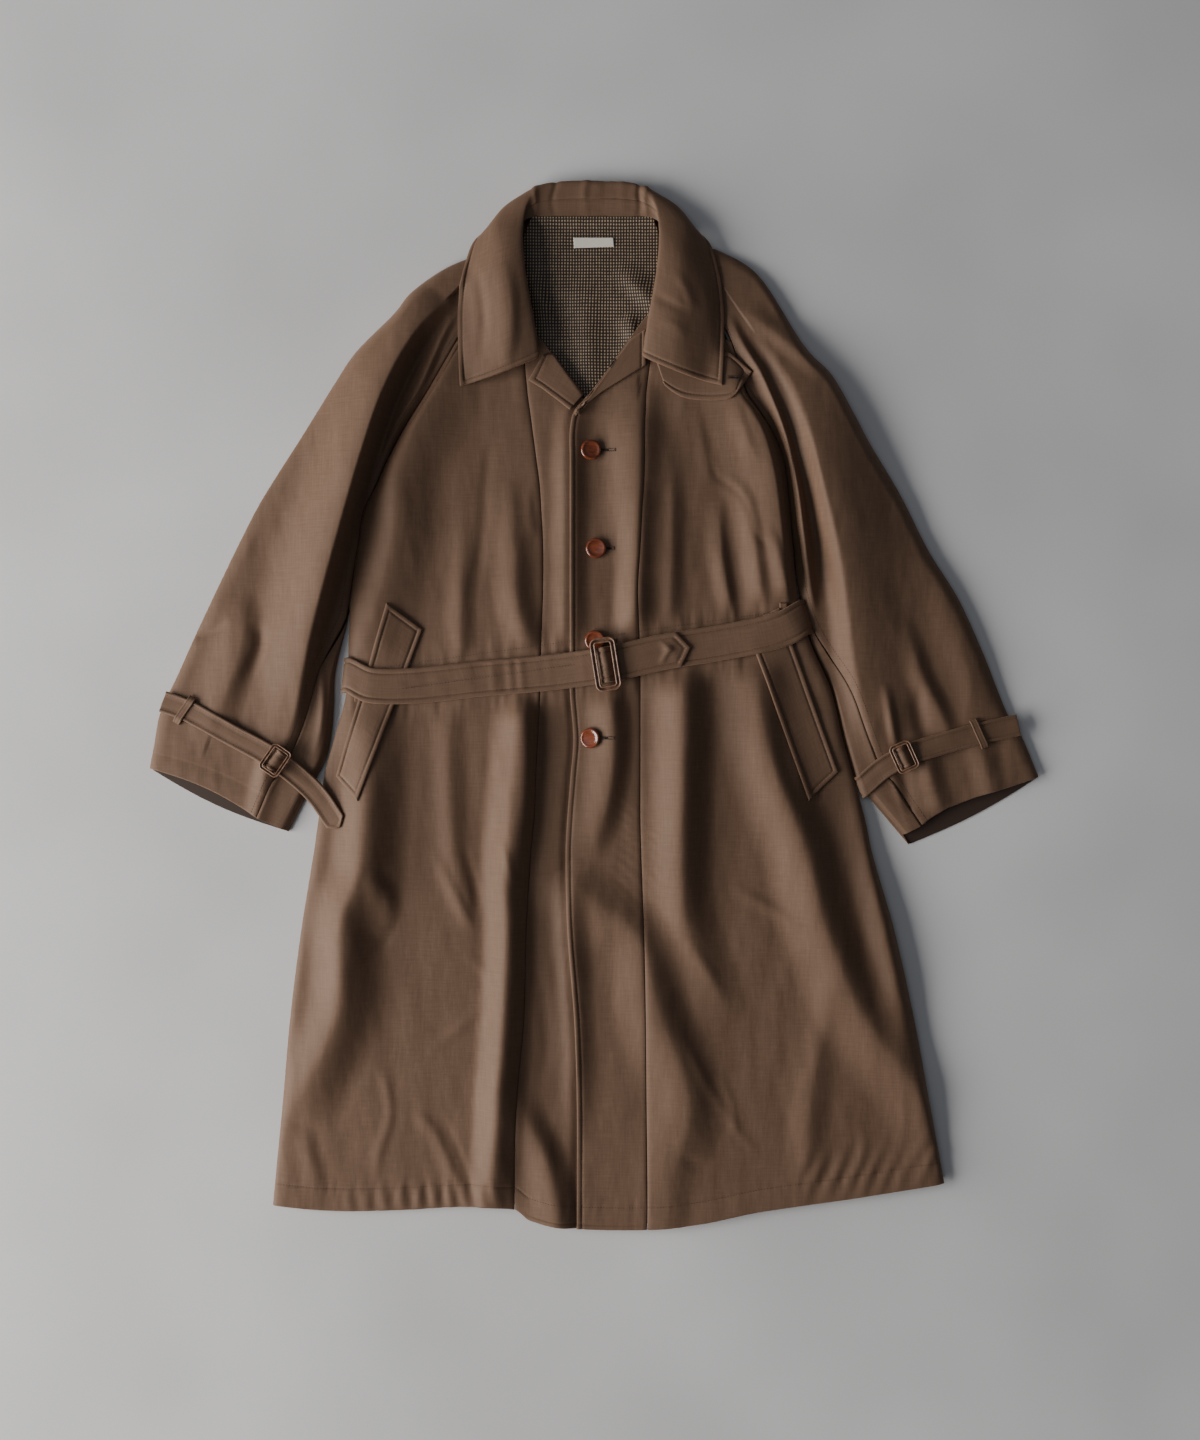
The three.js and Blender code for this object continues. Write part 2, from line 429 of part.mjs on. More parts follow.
// Calls visit(x, y, z, shares) for the bed's points under a triangle.
function scanTriangle(a, b, c, visit) {
  const area = (b.x - a.x) * (c.y - a.y) - (c.x - a.x) * (b.y - a.y);
  if (Math.abs(area) < 1e-6) return;
  const from = (v) => Math.ceil((v + BED_HALF) / BED_CELL) * BED_CELL - BED_HALF;
  for (let y = from(Math.min(a.y, b.y, c.y)); y <= Math.max(a.y, b.y, c.y); y += BED_CELL) {
    for (let x = from(Math.min(a.x, b.x, c.x)); x <= Math.max(a.x, b.x, c.x); x += BED_CELL) {
      const v = ((x - a.x) * (c.y - a.y) - (c.x - a.x) * (y - a.y)) / area;
      const w = ((b.x - a.x) * (y - a.y) - (x - a.x) * (b.y - a.y)) / area;
      if (v >= 0 && w >= 0 && v + w <= 1) visit(x, y, a.z * (1 - v - w) + b.z * v + c.z * w);
    }
  }
}

function layOnBed(geometry) {
  const position = geometry.getAttribute('position');
  const corners = [0, 1, 2].map(() => new THREE.Vector3());
  const index = geometry.getIndex();
  for (let k = 0; k < index.count; k += 3) {
    corners.forEach((corner, n) => corner.fromBufferAttribute(position, index.getX(k + n)));
    scanTriangle(...corners, (x, y, z) => {
      const cell = bedIndex(x, y);
      bed[cell] = Math.max(bed[cell], z);
    });
    for (const corner of corners) {
      const cell = bedIndex(corner.x, corner.y);
      bed[cell] = Math.max(bed[cell], corner.z);
    }
  }
}

// Lays a grid of points on the bed. Each starts on it; a stiff piece then bridges the dips along its rows, and
// last the corners of every facet are raised by as much as the facet falls short of clearing the bed.
function settle(grid, { clearance = LAID_GAP, stiff = 0, rows = () => true } = {}) {
  const last = grid.length - 1;
  grid.forEach((row, i) => {
    if (rows(i)) for (const p of row) p.z = Math.max(p.z, bed[bedIndex(p.x, p.y)] + clearance);
  });
  for (let pass = 0; pass < stiff; pass += 1) {
    for (let i = 1; i < last; i += 1) {
      grid[i].forEach((p, j) => { if (rows(i)) p.z = Math.max(p.z, (grid[i - 1][j].z + grid[i + 1][j].z) / 2); });
    }
  }
  const raise = grid.map((row) => row.map(() => 0));
  for (let i = 0; i < last; i += 1) {
    if (!rows(i) || !rows(i + 1)) continue;
    for (let j = 0; j < grid[0].length - 1; j += 1) {
      const corners = [[i, j], [i + 1, j], [i + 1, j + 1], [i, j + 1]];
      for (const facet of [[0, 1, 2], [0, 2, 3]]) {
        const [a, b, c] = facet.map((k) => grid[corners[k][0]][corners[k][1]]);
        let short = 0;
        scanTriangle(a, b, c, (x, y, z) => { short = Math.max(short, bed[bedIndex(x, y)] + clearance - z); });
        for (const k of facet) {
          const [m, n] = corners[k];
          raise[m][n] = Math.max(raise[m][n], short);
        }
      }
    }
  }
  grid.forEach((row, i) => row.forEach((p, j) => { p.z += raise[i][j]; }));
  return grid;
}

// ---- The scene graph -------------------------------------------------------------------------------------------
const coat = new THREE.Group();
const placed = new THREE.Group();
coat.add(placed);
const materials = {
  cloth: new THREE.MeshStandardMaterial({ color: CLOTH_BROWN, roughness: 0.85, metalness: 0 }),
  lining: new THREE.MeshStandardMaterial({ color: LINING_BROWN, roughness: 0.9, metalness: 0 }),
  label: new THREE.MeshStandardMaterial({ color: LABEL_CREAM, roughness: 0.7, metalness: 0 }),
  buckle: new THREE.MeshStandardMaterial({ color: BUCKLE_BROWN, roughness: 0.5, metalness: 0 }),
  button: new THREE.MeshStandardMaterial({ color: BUTTON_BROWN, roughness: 0.25, metalness: 0 }),
};

function add(name, geometry, material = materials.cloth) {
  const mesh = new THREE.Mesh(geometry, material);
  mesh.name = name;
  placed.add(mesh);
  layOnBed(geometry);
  return mesh;
}

const point = (x, y, z) => new THREE.Vector3(x, y, z);

function stripped(geometry) {
  geometry.deleteAttribute('normal');
  geometry.deleteAttribute('uv');
  return geometry;
}

// ---- Body ------------------------------------------------------------------------------------------------------
// Column places across a panel: an outline side gets close columns where the edge is rounded.
function columnPlaces(count, roundedWest, roundedEast) {
  const ROUND_STEPS = [0, 1.5, 5, 10];
  return (width) => {
    const west = roundedWest ? ROUND_STEPS : [0];
    const east = roundedEast ? ROUND_STEPS : [0];
    const from = west[west.length - 1];
    const to = width - east[east.length - 1];
    const middle = [];
    for (let i = 1; i < count; i += 1) middle.push(mix(from, to, i / count));
    return [...west, ...middle, ...east.map((step) => width - step).reverse()];
  };
}

// A body panel between two side curves and from its top edge to the hem, a row for each level of the grid. Each
// point's place across and its level depend on each other, so they are found in rounds.
const SETTLING_ROUNDS = 8;
function bodyPanel({ west, east, top, height, columns, rows = BODY_ROWS, hem = hemY }) {
  const grid = [];
  for (let i = 0; i <= rows; i += 1) {
    const share = i / rows;
    const row = columns(1).map((_, j) => {
      let y = mix(topRightY(0), hemY(0), share);
      let x = 0;
      for (let round = 0; round < SETTLING_ROUNDS; round += 1) {
        const left = west(y);
        const width = east(y) - left;
        x = left + columns(width)[j];
        y = mix(top(x), hem(x), share);
      }
      return point(x, y, height(x, y));
    });
    grid.push(row);
  }
  return grid;
}

const half = GAP / 2;
const BACK_CLOTH = CLOTH - 0.1;
const BACK_INSET = 2;            // the back ends this far inside the fronts' outline
const BACK_NECK_Y = 556;
const BACK_NECK_BOW = 0.00105;   // how fast the back's top edge falls from its middle, in mm per mm squared
const BACK_HEM_RISE = 5;
const backGrid = bodyPanel({
  west: (y) => level.rightEdge(y) + BACK_INSET,
  east: (y) => level.leftEdge(y) - BACK_INSET,
  top: (x) => BACK_NECK_Y - BACK_NECK_BOW * (x - COLLAR_MIDDLE) ** 2,
  hem: (x) => hemY(x) + BACK_HEM_RISE,
  height: (x, y) => backLift(x, y) + BACK_CLOTH,
  columns: columnPlaces(BACK_COLUMNS, false, false),
  rows: BACK_ROWS,
});
add('back', wallGeometry(backGrid, backGrid.map((row) => row.map((p) => point(p.x, p.y, p.z - BACK_CLOTH)))));

const NECK_LINING = { west: -104, east: 95, low: 330, high: 560 };
const liningGrid = [];
for (let i = 0; i <= 7; i += 1) {
  const y = mix(NECK_LINING.high, NECK_LINING.low, i / 7);
  const row = [];
  for (let j = 0; j <= 5; j += 1) {
    const x = mix(NECK_LINING.west, NECK_LINING.east, j / 5) * mix(0.7, 1, clamp(i / 2, 0, 1));
    row.push(point(x, y, 0));
  }
  liningGrid.push(row);
}
add('back_lining', coatOn(settle(liningGrid), LINING), materials.lining);

const labelGrid = [[-25, 538], [21, 538], [-24, 527], [22, 527]].map(([x, y]) => point(x, y, 0));
add('label', coatOn(settle([[labelGrid[0], labelGrid[1]], [labelGrid[2], labelGrid[3]]]), 0.6), materials.label);

function addFront(name, panel) {
  const grid = bodyPanel(panel);
  add(name, wall(grid, CLOTH, fieldNormals(grid, panel.height)));
}
addFront('front_side_right', {
  west: level.rightEdge, east: (y) => level.rightSeam(y) - half, top: topRightY,
  height: underHeight, columns: columnPlaces(11, true, false),
});
addFront('front_center_right', {
  west: (y) => level.rightSeam(y) + half, east: () => UNDERLAP_EDGE, top: topRightY,
  height: underHeight, columns: columnPlaces(7, false, false),
});
addFront('front_center_left', {
  west: level.lapEdge, east: (y) => level.leftSeam(y) - half, top: topLeftY,
  height: overHeight, columns: columnPlaces(5, false, false),
});
addFront('front_side_left', {
  west: (y) => level.leftSeam(y) + half, east: level.leftEdge, top: topLeftY,
  height: overHeight, columns: columnPlaces(14, false, true),
});

// ---- Sleeves ---------------------------------------------------------------------------------------------------
// Columns of a sleeve's back piece: place across the sleeve where it lies flat, and where its edge is turned up,
// and how high that edge then is as a share of the rolled edge's height.
const UNDER_COLUMNS = [
  [0.02, 0.02, 0], [0.3, 0.3, 0], [0.6, 0.6, 0], [0.84, 0.84, 0], [0.93, 0.94, 0], [0.955, 0.985, 0.16],
  [0.97, 1, 0.55], [0.98, 0.99, 0.9],
];
const SLEEVE_EDGE_ROUND = 15;
const SLEEVE_SEAM_LIFT = 4.4;
const SLEEVE_ROLL = 5.5;         // how much higher the rolled inner edge of the free sleeve is
const SLEEVE_OPENS_OVER = 0.12;  // share of the sleeve's length over which that edge opens
const SLEEVE_SEAM_GAP = 0.006;   // clearance at the underarm seam, as a share of the sleeve's width

function sleeve(side, rows, folds) {
  const sign = side === 'left' ? 1 : -1;
  const stations = rows.map((row, i) => ({ ...row, at: i / (rows.length - 1) }));
  const read = {};
  for (const key of ['outX', 'outY', 'inX', 'inY', 'seam']) read[key] = reader(stations, 'at', key);
  const field = foldField(folds);
  // Down to `free` the sleeve is sewn to the body; below it the inner edge opens into a roll.
  const free = stations.findLast((row) => row.seam === 1).at;
  const opened = (at) => smooth((at - free) / SLEEVE_OPENS_OVER);
  const edgeHeight = (at) => SLEEVE_SEAM_LIFT + SLEEVE_ROLL * opened(at);
  const plan = (at, u) => [
    mix(read.outX(at), read.inX(at) + sign * HIDDEN_GAP, u),
    mix(read.outY(at), read.inY(at), u),
  ];
  const width = (at) => Math.hypot(read.outX(at) - read.inX(at), read.outY(at) - read.inY(at));
  const height = (at, u) => {
    const [x, y] = plan(at, u);
    const fromOuter = u * width(at);
    const fromInner = (1 - u) * width(at);
    const full = SLEEVE_LIFT + field(x, y);
    const outer = EDGE_LIFT + (full - EDGE_LIFT) * roundedEdge(fromOuter, SLEEVE_EDGE_ROUND);
    const low = edgeHeight(at);
    return Math.min(low, outer) + Math.max(0, outer - low) * roundedEdge(fromInner, SLEEVE_EDGE_ROUND);
  };
  const places = Array.from({ length: SLEEVE_ROWS + 1 }, (_, i) => i / SLEEVE_ROWS);
  // The back piece lies on the floor, and past the underarm its edge turns up round the sleeve to the seam.
  const under = places.map((at) => {
    const turned = opened(at);
    const row = [];
    for (const [flatU, turnedU, rise] of UNDER_COLUMNS) {
      const [x, y] = plan(at, mix(flatU, turnedU, turned));
      row.push(point(x, y, turned * rise * edgeHeight(at)));
    }
    for (const [flatU, share] of [[0.988, 0.4], [0.996, 1]]) {
      const u = mix(0.975, Math.min(read.seam(at), 1) + SLEEVE_SEAM_GAP, share);
      const [x, y] = plan(at, mix(flatU, u, turned));
      row.push(point(x, y, turned * height(at, Math.min(u, 0.99))));
    }
    return sign < 0 ? row.reverse() : row;
  });
  add(`sleeve_back_${side}`, wall(under, BACK_CLOTH));
  const over = places.map((at) => {
    const seamU = Math.min(read.seam(at), 1) - SLEEVE_SEAM_GAP / 2;
    return SLEEVE_COLUMNS.map((column) => {
      const u = column * seamU;
      const [x, y] = plan(at, u);
      return point(x, y, height(at, u));
    });
  });
  add(`sleeve_front_${side}`, wall(sign < 0 ? over : over.map((row) => [...row].reverse()), CLOTH));
}
sleeve('right', SLEEVE_RIGHT, SLEEVE_FOLDS_RIGHT);
sleeve('left', SLEEVE_LEFT, SLEEVE_FOLDS_LEFT);

// ---- Pieces laid on the fronts -----------------------------------------------------------------------------------
function between(first, second, count) {
  return Array.from({ length: count + 1 }, (_, i) => point(mix(first[0], second[0], i / count),
    mix(first[1], second[1], i / count), 0));
}

for (const { side, innerTop, innerEnd, outerTop, outerEnd } of WELTS) {
  const WELT_ROWS = 12;
  const grid = [];
  for (let i = 0; i <= WELT_ROWS; i += 1) {
    const t = i / WELT_ROWS;
    const outer = [mix(outerTop[0], outerEnd[0], t), mix(outerTop[1], outerEnd[1], t)];
    const inner = [mix(innerTop[0], innerEnd[0], t), mix(innerTop[1], innerEnd[1], t)];
    grid.push(side === 'right' ? between(outer, inner, 4) : between(inner, outer, 4));
  }
  add(`pocket_welt_${side}`, coatOn(settle(grid), WELT_THICKNESS));
}

const LAPEL_GAP = 0.8;
for (const { side, rows } of LAPELS) {
  const grid = rows.map(({ fold, edge }) => (side === 'right' ? between(edge, fold, 3) : between(fold, edge, 3)));
  add(`lapel_${side}`, coatOn(settle(grid, { clearance: LAPEL_GAP }), DOUBLE_CLOTH));
}

add('throat_tab', coatOn(settle(TAB.map(({ upper, lower }) => between(lower, upper, 3))), DOUBLE_CLOTH));

// ---- Collar ------------------------------------------------------------------------------------------------------
const COLLAR_STEPS = 2;
const STAND_START = 3;           // the stand begins this many rows in from the collar's ends
function collarLine(key) {
  const nearSide = COLLAR.map((row) => new THREE.Vector3(...row[key]));
  const farSide = nearSide.slice(0, -1).reverse().map((p) => point(2 * COLLAR_MIDDLE - p.x, p.y, p.z));
  const points = [...nearSide, ...farSide];
  return new THREE.CatmullRomCurve3(points, false, 'centripetal').getPoints((points.length - 1) * COLLAR_STEPS);
}
const collar = {};
for (const key of ['neck', 'seam', 'roll', 'over', 'edge']) collar[key] = collarLine(key);

const standGrid = collar.neck.map((neck, i) => [0, 0.94].map((t) => neck.clone().lerp(collar.seam[i], t)))
  .slice(STAND_START, -STAND_START);
add('collar_stand', wall(standGrid, CLOTH));

const FALL_COLUMNS = 7;
const WING_GAP = 1.2;            // clearance under the collar's wings
const fallGrid = collar.seam.map((seam, i) => new THREE.CatmullRomCurve3(
  [seam, collar.roll[i], collar.over[i], collar.edge[i]], false, 'centripetal').getPoints(FALL_COLUMNS));
for (const row of fallGrid) for (const p of row) p.z = Math.max(p.z, 0);
const fallNormals = gridNormals(fallGrid);
const fallUnder = fallGrid.map((row, i) => row.map((p, j) => p.clone().addScaledVector(fallNormals[i][j], -DOUBLE_CLOTH)));
const liesOnTop = (i) => collar.edge[i].z > WING_LOW;
const wingUnder = settle(fallUnder.map((row) => row.map((p) => p.clone())), { clearance: WING_GAP, rows: liesOnTop });
wingUnder.forEach((row, i) => row.forEach((p, j) => {
  fallGrid[i][j].z += p.z - fallUnder[i][j].z;
  fallUnder[i][j].z = p.z;
}));
add('collar_fall', wallGeometry(fallGrid, fallUnder));

// ---- Buttons -------------------------------------------------------------------------------------------------------
const BUTTON_PROFILE = [[0, 0], [0.6, 0], [1, 0.5], [0.97, 0.86], [0.86, 1], [0.7, 0.8], [0, 0.62]];
BUTTONS.forEach(({ x, y }, i) => {
  const profile = BUTTON_PROFILE.map(([r, z]) => new THREE.Vector2(r * BUTTON_RADIUS, z * BUTTON_HEIGHT));
  const disc = new THREE.LatheGeometry(profile, 16).rotateX(Math.PI / 2);
  const reach = BUTTON_RADIUS * 0.8;
  const rise = (dx, dy) => bed[bedIndex(x + dx * reach, y + dy * reach)];
  const normal = point(rise(-1, 0) - rise(1, 0), rise(0, -1) - rise(0, 1), 2 * reach).normalize();
  disc.applyQuaternion(new THREE.Quaternion().setFromUnitVectors(point(0, 0, 1), normal));
  disc.translate(x, y, 0);
  const clean = mergeVertices(stripped(disc), 1e-3);
  let lift = 0;
  const position = clean.getAttribute('position');
  const corners = [0, 1, 2].map(() => new THREE.Vector3());
  for (let k = 0; k < clean.getIndex().count; k += 3) {
    corners.forEach((corner, n) => corner.fromBufferAttribute(position, clean.getIndex().getX(k + n)));
    scanTriangle(...corners, (px, py, z) => { lift = Math.max(lift, bed[bedIndex(px, py)] + LAID_GAP - z); });
  }
  add(`button_${i + 1}`, clean.translate(0, 0, lift), materials.button);
});

// ---- Belt and straps -----------------------------------------------------------------------------------------------
// A strip's cross row at a point of its centre line, square to its direction in plan.
function crossRow(x, y, direction, width, z = 0) {
  const along = Math.hypot(direction[0], direction[1]);
  const across = [-direction[1] / along, direction[0] / along];
  return [-0.5, 0, 0.5].map((k) => point(x + across[0] * k * width, y + across[1] * k * width, z));
}

// Rows of a strip along its line. Near a buckle's bar they are close, so that the strip can pass over it.
const NEAR_BAR = [-14, -7.8, -3, 0, 3, 7.8, 14];
function stripRows(line, width, spacing, barAt) {
  const curve = new THREE.CatmullRomCurve3(line.map(([x, y]) => point(x, y, 0)), false, 'centripetal');
  const length = curve.getLength();
  const count = Math.round(length / spacing);
  const places = Array.from({ length: count + 1 }, (_, i) => length * i / count);
  const clear = places.filter((place) => Math.abs(place - barAt) > NEAR_BAR[6] + spacing / 3);
  return [...clear, ...NEAR_BAR.map((step) => barAt + step)].sort((a, b) => a - b).map((place) => {
    const p = curve.getPointAt(place / length);
    const t = curve.getTangentAt(place / length);
    return crossRow(p.x, p.y, [t.x, t.y], width);
  });
}

const wasm = await Module();
wasm.setup();

function toManifold(geometry) {
  const merged = mergeVertices(stripped(geometry.clone()), 1e-4);
  return new wasm.Manifold(new wasm.Mesh({
    numProp: 3,
    vertProperties: new Float32Array(merged.getAttribute('position').array),
    triVerts: new Uint32Array(merged.getIndex().array),
  }));
}

function join(first, second) {
  const mesh = toManifold(first).add(toManifold(second)).getMesh();
  const geometry = new THREE.BufferGeometry();
  geometry.setAttribute('position', new THREE.BufferAttribute(new Float32Array(mesh.vertProperties), 3));
  geometry.setIndex(new THREE.BufferAttribute(new Uint32Array(mesh.triVerts), 1));
  return geometry;
}

function roundedRectangle(path, width, height, radius) {
  const w = width / 2;
  const h = height / 2;
  path.moveTo(-w + radius, -h);
  path.lineTo(w - radius, -h);
  path.absarc(w - radius, -h + radius, radius, -Math.PI / 2, 0);
  path.lineTo(w, h - radius);
  path.absarc(w - radius, h - radius, radius, 0, Math.PI / 2);
  path.lineTo(-w + radius, h);
  path.absarc(-w + radius, h - radius, radius, Math.PI / 2, Math.PI);
  path.lineTo(-w, -h + radius);
  path.absarc(-w + radius, -h + radius, radius, Math.PI, 1.5 * Math.PI);
  return path;
}

// A slide buckle: a rounded ring with a bar in its lower half, that the strip passes over.
function buckleGeometry({ width, height, bar, depth }) {
  const shape = roundedRectangle(new THREE.Shape(), width, height, bar * 1.3);
  shape.holes.push(roundedRectangle(new THREE.Path(), width - 2 * bar, height - 2 * bar, bar * 0.5));
  const ring = new THREE.ExtrudeGeometry(shape, { depth, bevelEnabled: false, curveSegments: 3 });
  const middle = new THREE.BoxGeometry(BUCKLE_BAR, height - bar, depth / 2).translate(0, 0, depth / 4 + 0.01);
  return join(ring, middle);
}

function stripCentre(line, place) {
  const curve = new THREE.CatmullRomCurve3(line.map(([x, y]) => point(x, y, 0)), false, 'centripetal');
  const p = curve.getPointAt(place / curve.getLength());
  const t = curve.getTangentAt(place / curve.getLength());
  return { x: p.x, y: p.y, along: [t.x, t.y] };
}

// Where a strip passes through a buckle: under the ring's two sides and over its bar. Gives the ring's lower face.
function passThrough(rows, centre, direction, buckle) {
  const along = rows.map((row) => (row[1].x - centre.x) * direction[0] + (row[1].y - centre.y) * direction[1]);
  let top = 0;
  rows.forEach((row, i) => {
    if (Math.abs(along[i]) < buckle.width / 2 + 3) for (const p of row) top = Math.max(top, p.z + DOUBLE_CLOTH);
  });
  const low = top + 2 * GAP;
  rows.forEach((row, i) => {
    const inside = Math.abs(along[i]) < BUCKLE_BAR / 2 + 2;
    for (const p of row) if (inside) p.z = low + buckle.depth / 2 + 2 * GAP;
  });
  return low;
}

const beltDirection = (x) => [1, (beltY(x + 4) - beltY(x - 4)) / 8];
const beltRow = (x, z = 0) => crossRow(x, beltY(x), beltDirection(x), BELT_WIDTH, z);
const wrapRow = (side, x, z) => crossRow(x, BELT_BACK_Y[side], [1, WRAP_SLOPE[side]], BELT_WIDTH, z);

function belt() {
  const lower = [];
  for (let x = MAIN_BUCKLE.x + 8; x < LEFT_WRAP[0].x - 3; x += 15) lower.push(beltRow(x));
  lower.push(...LEFT_WRAP.slice(0, 2).map(({ x, z }) => wrapRow('left', x, z)));
  settle(lower, { stiff: BELT_STIFF });
  const first = beltRow(MAIN_BUCKLE.x, lower[0][1].z + 3);
  layOnBed(coatOn([first, ...lower], DOUBLE_CLOTH));
  const bending = [
    ...LEFT_WRAP.slice(2).map(({ x, z }) => wrapRow('left', x, z)),
    ...RIGHT_WRAP.slice(0, -2).map(({ x, z }) => wrapRow('right', x, z)),
  ];
  const upper = [];
  const bar = MAIN_BUCKLE.x;
  const places = [];
  for (let x = RIGHT_WRAP[RIGHT_WRAP.length - 1].x + 10; x < bar - 20; x += 15) places.push(x);
  places.push(bar - 14, bar - 9, bar - 3, bar, bar + 3, bar + 9, bar + 14, bar + 26, bar + 42, bar + 58, bar + 72);
  upper.push(...RIGHT_WRAP.slice(-2).map(({ x, z }) => wrapRow('right', x, z)));
  for (const x of places) upper.push(beltRow(x));
  const tip = beltRow(BELT_TIP_X);
  tip[1].x += BELT_TIP_POINT;
  tip[1].y += BELT_TIP_POINT * beltDirection(BELT_TIP_X)[1];
  upper.push(tip);
  settle(upper, { stiff: BELT_STIFF });
  const slope = beltDirection(bar);
  const length = Math.hypot(...slope);
  const low = passThrough(upper, { x: bar, y: beltY(bar) }, slope.map((v) => v / length), MAIN_BUCKLE);
  add('belt', coatOn([first, ...lower, ...bending, ...upper], DOUBLE_CLOTH));
  add('belt_buckle', buckleGeometry(MAIN_BUCKLE).rotateZ(THREE.MathUtils.degToRad(MAIN_BUCKLE.turn))
    .translate(MAIN_BUCKLE.x, MAIN_BUCKLE.y, low), materials.buckle);
}

for (const { side, x, top, low } of BELT_LOOPS) {
  const grid = [];
  for (let i = 0; i <= 5; i += 1) grid.push(between([x - LOOP_WIDTH / 2, mix(top, low, i / 5)],
    [x + LOOP_WIDTH / 2, mix(top, low, i / 5)], 1));
  add(`belt_loop_${side}`, coatOn(settle(grid), CLOTH));
}
belt();

function strap({ side, barAt, loopX, loopY, point: tipLength, line, wrap }) {
  const rows = stripRows(line, STRAP_WIDTH, 11, barAt);
  const lastRow = rows[rows.length - 1];
  const end = line[line.length - 1];
  const before = line[line.length - 2];
  const length = Math.hypot(end[0] - before[0], end[1] - before[1]);
  const direction = [(end[0] - before[0]) / length, (end[1] - before[1]) / length];
  lastRow[1].x += direction[0] * tipLength;
  lastRow[1].y += direction[1] * tipLength;
  settle(rows, { stiff: STRAP_STIFF });
  const centre = stripCentre(line, barAt);
  const low = passThrough(rows, centre, centre.along, STRAP_BUCKLE);
  const wraps = wrap.map(({ out, z }) => crossRow(end[0] + direction[0] * out, end[1] + direction[1] * out,
    direction, STRAP_WIDTH, z));
  add(`sleeve_strap_${side}`, coatOn([...rows, ...wraps], DOUBLE_CLOTH));
  const { along } = centre;
  add(`strap_buckle_${side}`, buckleGeometry(STRAP_BUCKLE).rotateZ(Math.atan2(along[1], along[0]))
    .translate(centre.x, centre.y, low), materials.buckle);
  const loop = [];
  for (let i = 0; i <= 8; i += 1) {
    const across = mix(-STRAP_WIDTH / 2 - 5, STRAP_WIDTH / 2 + 5, i / 8);
    const x = loopX - along[1] * across;
    const y = loopY + along[0] * across;
    loop.push([-LOOP_WIDTH / 2, LOOP_WIDTH / 2].map((k) => point(x + along[0] * k, y + along[1] * k, 0)));
  }
  add(`strap_loop_${side}`, coatOn(settle(loop.reverse()), CLOTH));
}
STRAPS.forEach(strap);

// ---- The frame: its origin is on the floor, below the middle of the coat ---------------------------------------------
const middle = new THREE.Box3().setFromObject(placed).getCenter(new THREE.Vector3());
placed.position.set(-middle.x, -middle.y, 0);

export default coat;
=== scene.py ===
# A raglan motorcycle coat in taupe wool gabardine, buttoned and belted, laid on its back.
# Lengths in the tables are in millimetres; meshes are made in metres.
# +X is the wearer's left, +Y runs from the hem to the collar, +Z is up from the floor.
import math

import bmesh
import bpy
import numpy as np
from mathutils import Matrix, Vector


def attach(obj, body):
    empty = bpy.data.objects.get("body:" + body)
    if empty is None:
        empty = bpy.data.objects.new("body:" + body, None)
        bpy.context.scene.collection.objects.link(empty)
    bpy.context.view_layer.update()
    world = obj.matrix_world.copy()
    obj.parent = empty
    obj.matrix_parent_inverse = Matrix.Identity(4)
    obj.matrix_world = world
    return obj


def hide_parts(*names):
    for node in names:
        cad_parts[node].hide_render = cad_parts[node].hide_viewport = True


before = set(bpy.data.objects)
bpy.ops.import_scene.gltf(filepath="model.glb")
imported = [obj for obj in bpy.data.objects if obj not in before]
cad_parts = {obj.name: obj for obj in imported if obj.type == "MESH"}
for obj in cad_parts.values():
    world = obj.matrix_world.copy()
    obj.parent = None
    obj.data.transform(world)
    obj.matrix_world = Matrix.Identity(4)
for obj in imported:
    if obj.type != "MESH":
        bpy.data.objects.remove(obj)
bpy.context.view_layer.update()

MM = 0.001
CENTRE = np.array([1.0, 0.68, 0.0])  # the tables' origin lies this far off the middle of the coat

# ---- Sizes ------------------------------------------------------------
CLOTH = 1.6
LINING = 1.2
DOUBLE_CLOTH = 2.4
SEAM_GAP = 0.3
BODY_LIFT = 9.0
SLEEVE_LIFT = 10.0
EDGE_LIFT = 3.6
EDGE_ROUND = 14.0
LAP_STEP = 2.4
LAP_RAMP = 8.0
UNDERLAP_EDGE = 42.0
BELT_WIDTH = 41.0
BELT_PRESS = 0.95
BELT_PRESS_REACH = 38.0
BELT_LIFT = 3.0
COLLAR_LIFT = 5.2
LIFT_REACH = 68.0
LIFT_RAMP = 42.0
COLLAR_LIFT_Y = 436.0
EDGE_STITCH = 6.0  # how far in from an edge its stitching runs
HEM_STITCH = 26.0
COLLAR_MIDDLE = -4.5

# ---- The body's cut: y, then x of the right edge, right seam, lap edge, left seam and left edge
LEVELS = (
    (560, -84, -86, -8, 67, 76), (520, -106, -86, -8, 67, 99), (477, -126, -86, -8, 67, 126),
    (420, -159, -83, -8, 66, 156), (360, -194, -78, -8, 59, 174), (338, -208, -75, -24, 58, 189),
    (315, -222, -72, -29, 57, 204), (285, -238, -68, -29, 57, 217), (254, -252, -64, -29, 56, 222),
    (222, -267, -62, -29, 54, 225), (184, -273, -60, -29, 52, 228), (132, -281, -60, -29, 49, 233),
    (75, -284, -62, -29, 51, 247), (17, -286, -63, -29, 52, 272), (-40, -301, -66, -25, 52, 286),
    (-79, -312, -68, -28, 52, 297), (-130, -319, -70, -32, 52, 311), (-172, -325, -74, -34, 53, 320),
    (-259, -339, -79, -32, 56, 345), (-362, -352, -82, -24, 58, 368), (-454, -360, -90, -21, 59, 385),
    (-558, -370, -93, -21, 60, 404), (-604, -374, -92, -21, 60, 412),
)
HEM = ((-374, -577), (-305, -583), (-224, -582), (-144, -578), (-92, -582), (-75, -594), (-23, -603),
       (61, -604), (121, -598), (190, -584), (293, -569), (412, -550))
